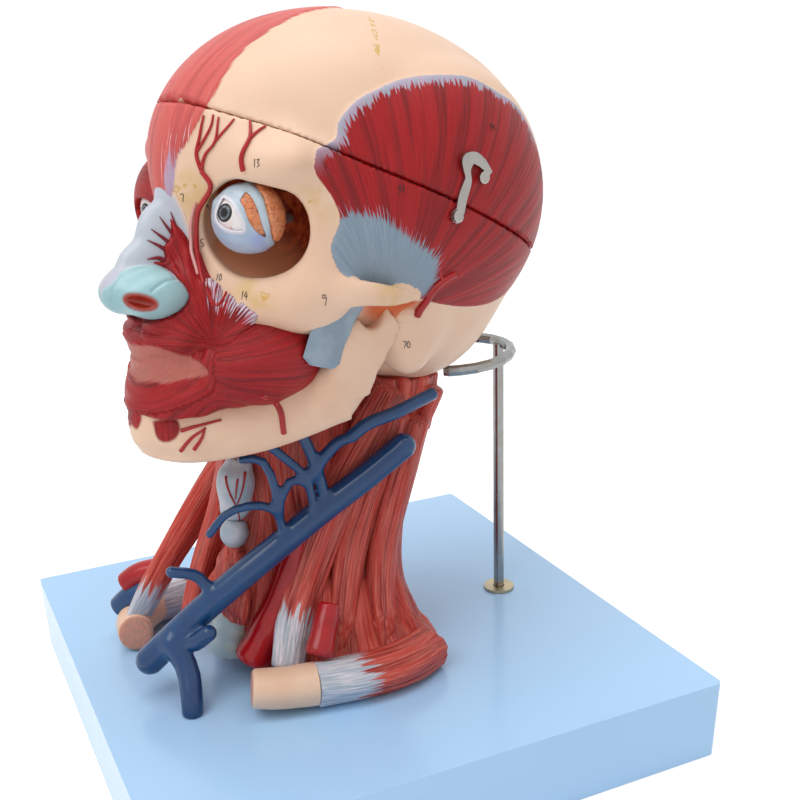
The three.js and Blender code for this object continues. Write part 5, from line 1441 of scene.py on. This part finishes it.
throatVessels = {"lines": [[(-0.13, -1.64, 0.71), (-0.08, -1.58, 0.64), (-0.05, -1.54, 0.59),
                            (-0.03, -1.52, 0.54)],
                           [(0.03, -1.46, 0.72), (-0.01, -1.5, 0.66), (-0.06, -1.55, 0.6)],
                           [(-0.03, -1.53, 0.7), (-0.06, -1.55, 0.63)]],
                 "radius": 0.6, "end": 0.3}
throatForm = slabField(ovalStations(voice["thyroid_cartilage"]["rows"]), (0.2, -1, 0), 20)
threads = [roundLine(settle(throatForm, curvePoints(neckAt(line), 9), 0.2, times=3),
                     throatVessels["radius"], throatVessels["end"], 16)
           for line in throatVessels["lines"]]
linesPiece("throatThreads", threads, "artery", "artery", sides=8)

# Vessels

vessels = {
    "left_external_jugular": {"rows": [(0.76, -0.79, 0.842), (0.83, -0.63, 0.88), (0.9, -0.34, 0.902),
                                       (0.92, 0.12, 0.934)], "radii": (3.1, 3.1), "paint": "vein"},
    "right_jugular_stub": {"rows": [(-1.41, -1.77, 0.2), (-1.59, -1.99, 0.15), (-1.7, -2.11, 0.1)],
                           "radii": (6.9, 6.9), "paint": "vein"},
    "left_carotid_artery": {"rows": [(0.23, -1.05, 0.5), (0.17, -1.22, 0.32), (0.1, -1.43, 0.16),
                                     (0.04, -1.56, 0.07)], "radii": (5.0, 10.0), "paint": "artery"},
    "left_subclavian_artery": {"rows": [(0.62, -1.0, 0.29), (0.68, -1.12, 0.22), (0.76, -1.26, 0.15)],
                               "radii": (5.4, 6.9), "paint": "artery"},
    "right_subclavian_artery": {"rows": [(-1.32, -1.65, 0.26), (-1.57, -1.9, 0.23), (-1.68, -2.03, 0.19)],
                                "radii": (6.2, 6.2), "paint": "artery"},
}
for vesselName, vessel in vessels.items():
    line = neckAt(vessel["rows"])
    sizes = np.linspace(*vessel["radii"], len(line))
    piece = limbPiece("fine_" + vesselName, [[p, r, r] for p, r in zip(line, sizes)], steps=30, sides=24,
                      facing=(1, 0.2, 0.3))
    dress(piece, vessel["paint"], vessel["paint"])
    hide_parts(vesselName)

jugular = {
    "trunk": {"rows": [(-0.38, -2.43, 0.127), (-0.15, -2.1, 0.252), (0.09, -1.75, 0.373),
                       (0.31, -1.32, 0.492), (0.55, -0.88, 0.615), (0.71, -0.56, 0.694),
                       (0.88, -0.25, 0.783)], "radii": (7.0, 6.1)},
    "branches": [
        ([(-0.18, -2.28, 0.193), (-0.01, -2.24, 0.127), (0.15, -2.3, 0.05), (0.18, -2.32, 0.012)], 5.6),
        ([(-0.18, -2.16, 0.205), (0.0, -2.15, 0.205), (0.13, -2.06, 0.245)], 4.4),
        ([(0, -1.9, 0.343), (-0.08, -2.02, 0.413), (-0.21, -2.21, 0.432)], 2.9),
        ([(0.54, -0.92, 0.605), (0.56, -1.04, 0.758), (0.54, -1.17, 0.877)], 2.9),
        ([(0.36, -1.28, 0.502), (0.39, -1.37, 0.61), (0.41, -1.41, 0.719), (0.34, -1.49, 0.793),
          (0.26, -1.64, 0.8)], 2.1),
        ([(0.39, -1.37, 0.62), (0.3, -1.54, 0.645), (0.15, -1.77, 0.625), (0.06, -1.92, 0.561)], 2.1),
        ([(0.4, -1.37, 0.64), (0.48, -1.26, 0.719), (0.54, -1.13, 0.699), (0.53, -1.07, 0.62)], 2.1),
        ([(0.43, -1.43, 0.838), (0.51, -1.27, 0.778), (0.54, -1.11, 0.719)], 2.1),
        ([(0.55, -1.07, 0.739), (0.69, -0.87, 0.828), (0.78, -0.77, 0.847)], 2.9),
    ],
    "blend": 3.0,
}


def jugularField():
    parts = [tubeField(neckAt(jugular["trunk"]["rows"]), jugular["trunk"]["radii"], 14)]
    for rows, radius in jugular["branches"]:
        parts.append(tubeField(neckAt(rows), (radius, radius * 0.9), 8))

    def field(points):
        value = parts[0](points)
        for part in parts[1:]:
            value = softUnion(value, part(points), jugular["blend"])
        return np.maximum(value, standTop - points[:, 2])
    return field


jugularPiece, _ = fieldPiece("fineJugularVein", jugularField(), (-30, -133, 38), (52, -3, 182), 1.1)
dress(jugularPiece, "vein", "vein")
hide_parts("left_jugular_vein")
print("vessels made")

# Left eye: ball, lids and tear gland, with marks measured across and up from its middle

eyeMarks = {
    "window": [(-8.3, 6.6), (-5.2, 4.1), (-2.5, 0.0), (-0.5, -3.7), (-0.1, -6.8), (-3.2, -7.0),
               (-7.3, -5.8), (-10.4, -3.0), (-11.1, -0.3), (-10.0, 3.1)],
    "leaf": [(1.0, 8.9), (3.6, 6.0), (6.0, 0.9), (7.3, -3.9), (8.6, -9.1), (5.6, -7.7), (2.6, -3.8),
             (0.7, 1.5), (-1.0, 5.0)],
    "lobe": [(2.0, 14.3), (5.3, 10.4), (7.8, 6.3), (9.2, 1.3), (10.3, -4.0), (11.5, -10.2), (19.9, -10.2),
             (19.9, 15.8), (2.0, 15.8)],
}
iris = {"at": (-8.3, 0.4), "reach": 15.0}


def eyePlace(points):
    return (points - eyeSpot) @ viewAxes.T


def eyeMark(points, name):
    place = eyePlace(points)
    inside = outlineDistance(place[:, :2], eyeMarks[name])
    return np.where(place[:, 2] > -6, inside, np.minimum(inside, -2))


irisDirection = unit(np.array([*iris["at"], math.sqrt(iris["reach"] ** 2 - iris["at"][0] ** 2)]) @ viewAxes)


def ballField(points):
    rel = points - eyeSpot
    away = np.linalg.norm(rel, axis=1)
    bulge = np.exp(-((unit(rel) - irisDirection) ** 2).sum(1) / 0.12)
    value = away - eye["ball"] - eye["bulge"] * bulge
    along = rel @ pegAxis
    bore = np.linalg.norm(rel - along[:, None] * pegAxis, axis=1) - eye["bore"]
    return np.maximum(value, -np.maximum(bore, along + eye["boreFrom"]))


def lidField(points):
    away = np.linalg.norm(points - eyeSpot, axis=1)
    place = eyePlace(points)
    x, y = place[:, 0], place[:, 1]
    brim = np.exp(-(eyeMark(points, "window") + 0.7) ** 2 / 0.7)
    brim = brim + np.exp(-(eyeMark(points, "lobe") + 1.2) ** 2 / 1.6)
    fold = np.exp(-((x - 6) ** 2 + (y + 11) ** 2) / 12) + 0.7 * np.exp(-((x + 13) ** 2 + (y - 6) ** 2) / 6)
    shell = np.maximum(away - eye["lid"] - 0.45 * brim - fold, eye["lidInside"] - away)
    shell = np.maximum(shell, np.maximum(eyeMark(points, "window"), eyeMark(points, "leaf")))
    shell = np.maximum(shell, eyeMark(points, "lobe"))
    return np.maximum(shell, -4.0 - place[:, 2])


def glandField(points):
    rel = points - eyeSpot
    away = np.linalg.norm(rel, axis=1)
    lobe = eyeMark(points, "lobe")
    waves = points[:, 2] * 2.6 + 1.5 * np.sin(points[:, 1] * 1.9)
    bumps = 0.16 * np.sin(waves) * np.sin(points[:, 1] * 2.3)
    outer = away - eye["gland"] - eye["glandSwell"] * smooth(lobe, -1, 2) - bumps
    where = np.maximum(eyeMark(points, "leaf") + 0.8, lobe)
    body = np.maximum(np.maximum(outer, eye["glandInside"] - away), -where)
    return np.maximum(body, -4.5 - rel @ viewAxes[2])


eyeLow, eyeHigh = eyeSpot - 18.5, eyeSpot + 18.5
ballPiece, ballPoints = fieldPiece("fineLeftEyeball", ballField, eyeLow, eyeHigh, 0.6, "eye")
lidPiece, lidPoints = fieldPiece("fineLids", lidField, eyeLow, eyeHigh, 0.45, "eye")
glandPiece, _ = fieldPiece("fineGland", glandField, eyeLow, eyeHigh, 0.5, "eye")


def eyePaint(piece, points, centre, direction):
    rel = unit(points - centre)
    away = np.arccos(np.clip(rel @ direction, -1, 1)) * 14
    side = unit(np.cross(direction, [0, 0, 1]))
    above = np.cross(side, direction)
    paint(piece, "iris", away)
    paint(piece, "flow", np.stack([np.arctan2(rel @ above, rel @ side) * 9, away * 0, away], 1))


# White with red veins that run to a dark iris
def eyeMaterial():
    material, tree, shader = newMaterial("paintedEyeball", roughness=0.2, coat=0.15, specular=0.3)
    away = attributeOf(tree, "iris")
    veins = useGroup(tree, "fibre", {"Flow": attributeOf(tree, "flow", vector=True), "Width": 0.9,
                                     "Stretch": 4.0})
    white = mottled(tree, "eyeWhite", "sheath", 0.25, 160.0)
    red = calc(tree, "MULTIPLY", ranged(tree, veins["Lines"], 0.86, 0.98), ranged(tree, away, 4.5, 7.0))
    colour = mixed(tree, calc(tree, "MULTIPLY", red, 0.8), white["Colour"], tones["arteryPale"])
    ringLines = mixed(tree, calc(tree, "MULTIPLY", veins["Lines"], 0.4), tones["iris"], tones["lidPale"])
    irisColour = mixed(tree, ranged(tree, away, 1.8, 2.1), tones["pupil"], ringLines)
    rim = mixed(tree, ranged(tree, away, 2.6, 3.1), irisColour, tones["pupil"])
    colour = mixed(tree, ranged(tree, away, 3.7, 3.95), rim, colour)
    tree.links.new(colour, shader.inputs["Base Color"])
    bumped(tree, shader, white["Height"], 0.1, 0.00005)
    return material


# Blue-grey lids, violet in the fold and paler along their edges
def lidMaterial():
    material, tree, shader = newMaterial("paintedLids", roughness=0.35, coat=0.15)
    grey = mottled(tree, "lid", "lidPale", 0.7, 130.0)
    colour = mixed(tree, attributeOf(tree, "fold"), grey["Colour"], tones["lidViolet"])
    colour = mixed(tree, attributeOf(tree, "brim"), colour, tones["white"])
    tree.links.new(colour, shader.inputs["Base Color"])
    bumped(tree, shader, grey["Height"], 0.3, 0.0001)
    return material


# Peach gland with fine winding brown lines
def glandMaterial():
    material, tree, shader = newMaterial("paintedGland", roughness=0.35, specular=0.35)
    coatOf = mottled(tree, "gland", "boneWarm", 0.3, 200.0)
    place = addNode(tree, "ShaderNodeTexCoord").outputs["Object"]
    wander = cloudNode(tree, place, 330.0, 3.0, Distortion=1.2)
    line = ranged(tree, calc(tree, "ABSOLUTE", calc(tree, "SUBTRACT", wander, 0.5)), 0.03, 0.008)
    colour = mixed(tree, calc(tree, "MULTIPLY", line, 0.75), coatOf["Colour"], tones["glandDark"])
    tree.links.new(colour, shader.inputs["Base Color"])
    bumped(tree, shader, calc(tree, "SUBTRACT", 1.0, line), 0.5, 0.0002)
    return material


materials["gland"] = glandMaterial()
materials["eyeball"] = eyeMaterial()
materials["lids"] = lidMaterial()
eyePaint(ballPiece, ballPoints, eyeSpot, irisDirection)
lidSpot = eyePlace(lidPoints)
paint(lidPiece, "fold", np.exp(-((lidSpot[:, 0] - 6) ** 2 + (lidSpot[:, 1] + 10) ** 2) / 14) * 0.9
      + 0.35 * smooth(-lidSpot[:, 1] - 0.4 * lidSpot[:, 0], 4, 12))
paint(lidPiece, "brim", smooth(eyeMark(lidPoints, "window"), -2.0, -0.6) * 0.8)
for piece, material, slotName, node in ((ballPiece, "eyeball", "eye", "left_eyeball"),
                                        (lidPiece, "lids", "tendon", "left_lid_shell"),
                                        (glandPiece, "gland", "gland", "left_lacrimal_gland")):
    dress(piece, material, slotName)
    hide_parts(node)

# Right eye: whole lids in their ring muscle

rightEyeSpot = headAt([[-0.44, -0.83, -0.06]])[0]
rightLook = unit(np.array([0.12, -1.0, 0.0]))
rightRows = [[-0.43, -0.8, -0.04, 0.32, 0.17, 0.3]]
rightMuscle = ovalField(ovals(rightRows), 8.0)


def rightEyeField(points):
    value = rightMuscle(points)
    value = np.maximum(value, 13.3 - np.linalg.norm(points - rightEyeSpot, axis=1))
    window = ovalDistance(points, rightEyeSpot + [0, -15.4, 0], np.array([10.5, 14.0, 6.0]))
    return np.maximum(value, -window)


def rightBallField(points):
    rel = points - rightEyeSpot
    bulge = np.exp(-((unit(rel) - rightLook) ** 2).sum(1) / 0.1)
    return np.linalg.norm(rel, axis=1) - 13.0 - 0.7 * bulge


ringPiece, ringPoints = fieldPiece("fineRightEyeMuscle", rightEyeField, rightEyeSpot - [27, 22, 28],
                                   rightEyeSpot + [29, 22, 30], 0.8)
rel = ringPoints - rightEyeSpot
turnAt = np.arctan2(rel[:, 2] * 1.3, rel[:, 0])
spread = np.hypot(rel[:, 0], rel[:, 2] * 1.3)
paint(ringPiece, "flow", np.stack([spread, spread * 0, turnAt * 16], 1))
paintFleshOnly(ringPiece)
dress(ringPiece, "muscle", "muscle")
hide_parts("right_eye_muscle")
rightBall, rightBallPoints = fieldPiece("fineRightEyeball", rightBallField, rightEyeSpot - 15,
                                        rightEyeSpot + 15, 0.6)
eyePaint(rightBall, rightBallPoints, rightEyeSpot, rightLook)
dress(rightBall, "eyeball", "eye")
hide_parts("right_eyeball")
print("eyes made")

# Muscle that fans out from the lip over the cheek and the nose

fanMarks = {
    "sheet": [(-33, 1.0), (-31.2, -1.0), (-28.0, -4.5), (-26.1, -7.7), (-24.1, -14.4), (-23.0, -20.1),
              (-19.4, -24.0), (-16.4, -24.0), (-12.3, -27.0), (-11.0, -29.3), (-11.6, -32.5), (-9.8, -32.8),
              (-8.5, -30.8), (-5.9, -32.4), (-4.7, -35.0), (-2.3, -34.8), (1.0, -37.5), (4.3, -40.1),
              (2.4, -43.6), (-1.8, -48.4), (-8, -54), (-30, -54), (-47, -49), (-47, -41.5), (-39, -41.5),
              (-33.4, -40), (-28, -36.6), (-25.4, -32.4), (-26.4, -28.2), (-29.2, -25.1), (-32, -22.2),
              (-36.5, -19.2), (-41, -17.6), (-36, -16.5), (-36, -11), (-33.5, -7), (-33, -3)],
    "root": (-15.0, -52.0),
    "artery": [(-15.7, -34.0), (-12.4, -35.1), (-8.9, -32.0), (-7.9, -30.1)],
}


def outerBlank(points):
    return softUnion(softUnion(skullSolid(points), noseField(points), 7.0), faceSolid(points), 5.0)


def sheetField(points):
    inside = outlineDistance(eyeChart(points), fanMarks["sheet"])
    base = outerBlank(points)
    return np.maximum(np.maximum(base - 0.3 - 1.3 * smooth(inside, 0, 2.2), -1.0 - base), -inside)


sheetPiece, sheetPoints = fieldPiece("cheekSheet", sheetField, (-44, -132, 212), (44, -84, 284), 0.75,
                                     polish=1)
sheetAt = eyeChart(sheetPoints)
rootAway = sheetAt - fanMarks["root"]
rootTurn = np.arctan2(rootAway[:, 0], rootAway[:, 1])
rootReach = np.linalg.norm(rootAway, axis=1)
paint(sheetPiece, "flow", np.stack([rootTurn * 22, rootTurn * 0, rootReach], 1))
edgeIn = outlineDistance(sheetAt, fanMarks["sheet"])
isFan = smooth(sheetAt[:, 0], -21, -17) * smooth(sheetAt[:, 1], -47, -42)
paint(sheetPiece, "sinew", np.where(isFan > 0, 3.0 - edgeIn * 1.3 - 14 * (1 - isFan), farOutside))
paintFleshOnly(sheetPiece, ["bare"])
ribs = 0.3 * np.sin(rootTurn * 34 + 0.7 * np.sin(rootReach * 0.3)) * smooth(edgeIn, 0.3, 2)
raisePoints(sheetPiece, sheetPoints, sheetField, ribs)
materials["sheet"] = muscleMaterial("paintedSheet", width=0.55, stretch=16.0)
dress(sheetPiece, "sheet", "muscle")

# Arteries that lie on the bone, each with its twigs

faceArteries = {
    "left_brow_artery": [
        ([(0.34, -0.97, -0.49), (0.24, -0.975, -0.35), (0.19, -0.97, -0.18), (0.23, -0.97, -0.01),
          (0.34, -0.95, 0.13), (0.3, -0.97, 0.21)], 1.25, 1.0),
        ([(0.3, -0.97, 0.21), (0.28, -0.98, 0.29), (0.285, -0.96, 0.37), (0.28, -0.93, 0.48)], 0.9, 0.45),
        ([(0.28, -0.98, 0.3), (0.31, -0.95, 0.36), (0.33, -0.92, 0.43), (0.32, -0.9, 0.48)], 0.7, 0.4),
        ([(0.3, -0.97, 0.21), (0.33, -0.96, 0.29), (0.37, -0.93, 0.35), (0.35, -0.89, 0.47)], 0.8, 0.4),
        ([(0.36, -0.93, 0.34), (0.41, -0.87, 0.43), (0.42, -0.85, 0.46)], 0.6, 0.35),
    ],
    "left_orbit_artery": [
        ([(0.54, -0.88, 0.21), (0.535, -0.885, 0.28), (0.54, -0.84, 0.37), (0.51, -0.82, 0.42),
          (0.49, -0.81, 0.45)], 1.1, 0.5),
        ([(0.54, -0.85, 0.36), (0.55, -0.8, 0.4), (0.56, -0.77, 0.42)], 0.7, 0.4),
    ],
    "left_temple_artery": [
        ([(0.955, -0.02, -0.417), (0.93, -0.08, -0.454), (0.905, -0.12, -0.5), (0.871, -0.16, -0.57),
          (0.842, -0.185, -0.64)],
         1.5, 1.9),
        ([(0.93, -0.08, -0.454), (0.93, -0.1, -0.38), (0.935, -0.06, -0.34)], 0.9, 0.3),
        ([(0.94, -0.05, -0.43), (0.95, 0.0, -0.44), (0.95, 0.04, -0.4)], 0.9, 0.3),
    ],
}


def onBone(rows, height):
    line = curvePoints(headAt(rows), 5 * len(rows))
    sunk = np.minimum(sheetField(line), 0)[:, None] * 0.5 * unit(slope(outerBlank, line))
    return settle(outerBlank, line, height, times=4) - sunk


for nodeName, routes in faceArteries.items():
    tubes = [roundLine(onBone(rows, start * 0.6), start, stop, 40) for rows, start, stop in routes]
    piece = linesPiece("fine_" + nodeName, tubes, "artery", "artery", sides=12)
    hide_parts(nodeName)


def lowerForm(points):
    return np.minimum(jawSolid(points), faceSolid(points))


jawTubes = [roundLine(placeAt(lowerForm, jawMarks["artery"]), 1.5, 1.3, 30)]
jawTubes += [roundLine(settle(jawSolid, curvePoints(placeAt(jawSolid, marks), 9), 0.3, times=3), 0.9, 0.5,
                       20) for marks in jawMarks["twigs"]]
jawTubes += [roundLine(settle(outerBlank, curvePoints(placeAt(outerBlank, fanMarks["artery"]), 9), 1.6,
                              times=3), 0.7, 0.5, 20)]
jawArtery = linesPiece("fineJawArtery", jawTubes, "artery", "artery", sides=12)
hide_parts("left_facial_artery")
sheathRows = [(0.235, -0.98, 0.04), (0.2, -0.985, -0.02), (0.17, -0.985, -0.1), (0.165, -0.985, -0.18),
              (0.185, -0.985, -0.27), (0.215, -0.98, -0.35)]
materials["sheath"] = plainMaterial("paintedSheath", "sheath", "arteryPale", 0.5, 90.0, 0.35, coat=0.2)
linesPiece("arterySheath", [roundLine(onBone(sheathRows, 0.3), 0.6, 0.9, 40)], "sheath", "artery", sides=12)

# Muscle strands that spread from the lip over the nose and the cheek

noseStrands = [
    [(0.15, -0.99, -0.3), (0.13, -1.018, -0.156), (0.094, -1.039, -0.009)],
    [(0.15, -1.0, -0.29), (0.136, -1.044, -0.151), (0.088, -1.09, -0.023)],
    [(0.15, -1.01, -0.29), (0.137, -1.074, -0.162), (0.086, -1.135, -0.084)],
    [(0.15, -1.02, -0.3), (0.136, -1.09, -0.196), (0.078, -1.155, -0.139)],
    [(0.15, -1.02, -0.31), (0.13, -1.115, -0.234), (0.1, -1.17, -0.235)],
]


def strandTubes(rows, wide, deep, tipShare):
    line = settle(outerBlank, curvePoints(headAt(rows), 9), 0.5, times=3)
    sizes = np.linspace(1, tipShare, 9)
    return {"stations": [[p, wide * s, deep * s] for p, s in zip(line, sizes)], "steps": 24, "sides": 10,
            "facing": (0.75, -0.6, 0.2)}


def mirroredRows(rows):
    return [(-x, y, z) for x, y, z in rows]


materials["spikes"] = plainMaterial("paintedSpikes", "spike", "fleshDeep", 0.7, 120.0, 0.42, bump=0.0002,
                                    specular=0.3)
spikes = tubesPiece("noseStrands", [strandTubes(r, 1.6, 0.6, 0.12) for row in noseStrands
                                    for r in (row, mirroredRows(row))])
dress(spikes, "spikes", "muscle")
print("arteries and strands made")

# Small handwritten numbers

digits = {
    "0": [[(0.3, 1), (0, 0.6), (0.25, 0), (0.55, 0.4), (0.3, 1)]],
    "1": [[(0.3, 1), (0.25, 0)]],
    "3": [[(0, 0.9), (0.4, 0.95), (0.15, 0.55), (0.45, 0.3), (0, 0.02)]],
    "4": [[(0.3, 1), (0, 0.4), (0.55, 0.4)], [(0.4, 0.7), (0.35, 0)]],
    "5": [[(0.5, 1), (0.1, 0.95), (0.05, 0.6), (0.45, 0.4), (0.3, 0.05), (0, 0.1)]],
    "6": [[(0.4, 1), (0.05, 0.4), (0.25, 0), (0.45, 0.3), (0.1, 0.4)]],
    "7": [[(0, 0.95), (0.5, 1), (0.2, 0)]],
    "8": [[(0.4, 0.85), (0.1, 0.85), (0.4, 0.25), (0.1, 0.1), (0.1, 0.4), (0.4, 0.85)]],
    "9": [[(0.45, 0.8), (0.1, 0.9), (0.1, 0.6), (0.42, 0.7), (0.3, 0)]],
}
numbers = [
    ("13", (0.597, -0.86, 0.252), 3.4), ("7", (0.151, -1.01, 0.064), 3.4),
    ("9", (0.276, -0.945, 0.014), 2.8), ("5", (0.2, -0.954, -0.175), 3.2),
    ("10", (0.306, -0.94, -0.345), 3.0), ("14", (0.499, -0.913, -0.42), 3.4),
    ("9", (0.797, -0.662, -0.454), 5.2), ("18", (0.88, -0.41, -0.46), 3.0),
    ("70", (0.766, -0.218, -0.803), 3.4), ("31", (0.89, -0.3, 0.073), 3.0), ("34", (0.93, 0.2, 0.35), 3.0),
]


def numberTubes(label, spot, size, field):
    at = settle(field, headAt([spot]), 0.1, times=4)[0]
    out = unit(slope(field, at[None]))[0]
    across = unit(np.cross([0, 0, 1], out))
    above = np.cross(out, across)
    tubes = []
    for k, digit in enumerate(label):
        for stroke in digits[digit]:
            flat = np.array([at + across * (x + 0.65 * k) * size * 0.8 + above * (y - 0.5) * size for x,
                             y in stroke])
            line = settle(field, curvePoints(flat, 12), 0.05, times=3)
            tubes.append(roundLine(line, 0.2, 0.15, 14))
    return tubes


materials["ink"] = plainMaterial("blackInk", "ink", "pupil", 0.4, 300.0, 0.5)


def writtenForm(points):
    return skullSolid(points) - 0.9 * smooth(templeAt(points), -0.6, 1.0)


def templeAt(points):
    outline = [(y * 100, z * 80) for y, z in outlines["temple"]]
    side = np.stack([points[:, 1], points[:, 2] - head["z"]], 1)
    return np.where(np.abs(points[:, 0]) > 31, outlineDistance(side, outline), farOutside)


inkLines = [line for label, spot, size in numbers for line in numberTubes(label, spot, size, writtenForm)]
linesPiece("writtenNumbers", inkLines, "ink", sides=6)
print("numbers written")

# Brain

brainRows = {"clearance": 1.6, "settle": 1.0, "half": 0.3}
lowBrain = ovals([[0, 0.28, -0.6, 0.62, 0.36, 0.37]])[0]
stemRows = [(0, 0.06, -0.4), (0, 0.02, -0.6), (0, 0.02, -0.78)]


def brainShape(points):
    moved = points + brainRows["settle"] * liftAxis
    onCut = points - aboveCut(points)[:, None] * liftAxis
    return np.maximum(hollow(moved), hollow(onCut)) + brainRows["clearance"]


# Winding grooves, up to about 2 mm deep
def folds(points):
    x, y, z = (points / 9.5).T
    a = np.sin(x * 1.1 + 1.6 * np.sin(y * 0.9 + 0.7 * np.sin(z * 1.3)))
    b = np.sin(y * 1.2 + 1.5 * np.sin(z * 0.8 + 1.1 * np.sin(x * 1.2)) + z)
    wave = np.abs(a + 0.8 * b)
    return 1.9 * (1 - smooth(wave, 0.05, 0.5))


def halfBrain(side):
    def field(points):
        value = brainShape(points) + folds(points)
        value = np.maximum(value, brainRows["half"] - side * points[:, 0])
        return np.maximum(value, 0.6 - ovalDistance(points, *lowBrain))
    return field


def lowBrainField(points):
    ribs = 0.5 * np.abs(np.sin(points[:, 2] * 1.5 + 0.02 * points[:, 0] ** 2))
    return np.maximum(ovalDistance(points, *lowBrain) + ribs, brainShape(points))


stemField = tubeField(headAt(stemRows), (14.5, 11.5, 8.0), 12)


def brainStem(points):
    return np.maximum(stemField(points), brainShape(points))


brainFields = {
    "left_hemisphere": (halfBrain(1), (0, -75, 215), (66, 90, 345)),
    "right_hemisphere": (halfBrain(-1), (-66, -75, 215), (0, 90, 345)),
    "cerebellum": (lowBrainField, (-50, -12, 196), (50, 68, 258)),
    "brain_stem": (brainStem, (-18, -18, 200), (18, 24, 262)),
}
for nodeName, (field, low, high) in brainFields.items():
    piece, _ = fieldPiece("fine_" + nodeName, field, low, high, 1.2, "brain")
    dress(piece, "brain", "brain")
    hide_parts(nodeName)
print("brain made")

# What the CAD already shapes well keeps its solid and gets its finish
for nodeName, material in {
    "base_box": "plastic", "support_post": "steel", "support_ring": "steel", "post_flange": "brass",
    "post_washer": "steel", "post_nut": "steel", "left_neck_screw": "steel", "right_neck_screw": "steel",
    "left_hook": "nickel", "right_hook": "nickel", "left_hook_screw": "nickel",
    "right_hook_screw": "nickel",
    "left_catch_screw": "nickel", "right_catch_screw": "nickel", "left_temporal_tendon": "sinew",
    "right_temporal_tendon": "sinew",
    "left_eye_peg": "sinew",
}.items():
    dress(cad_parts[nodeName], material)

asLists = [[list(corner) for corner in box] for box in (cadBox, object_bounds())]
print("scene done")
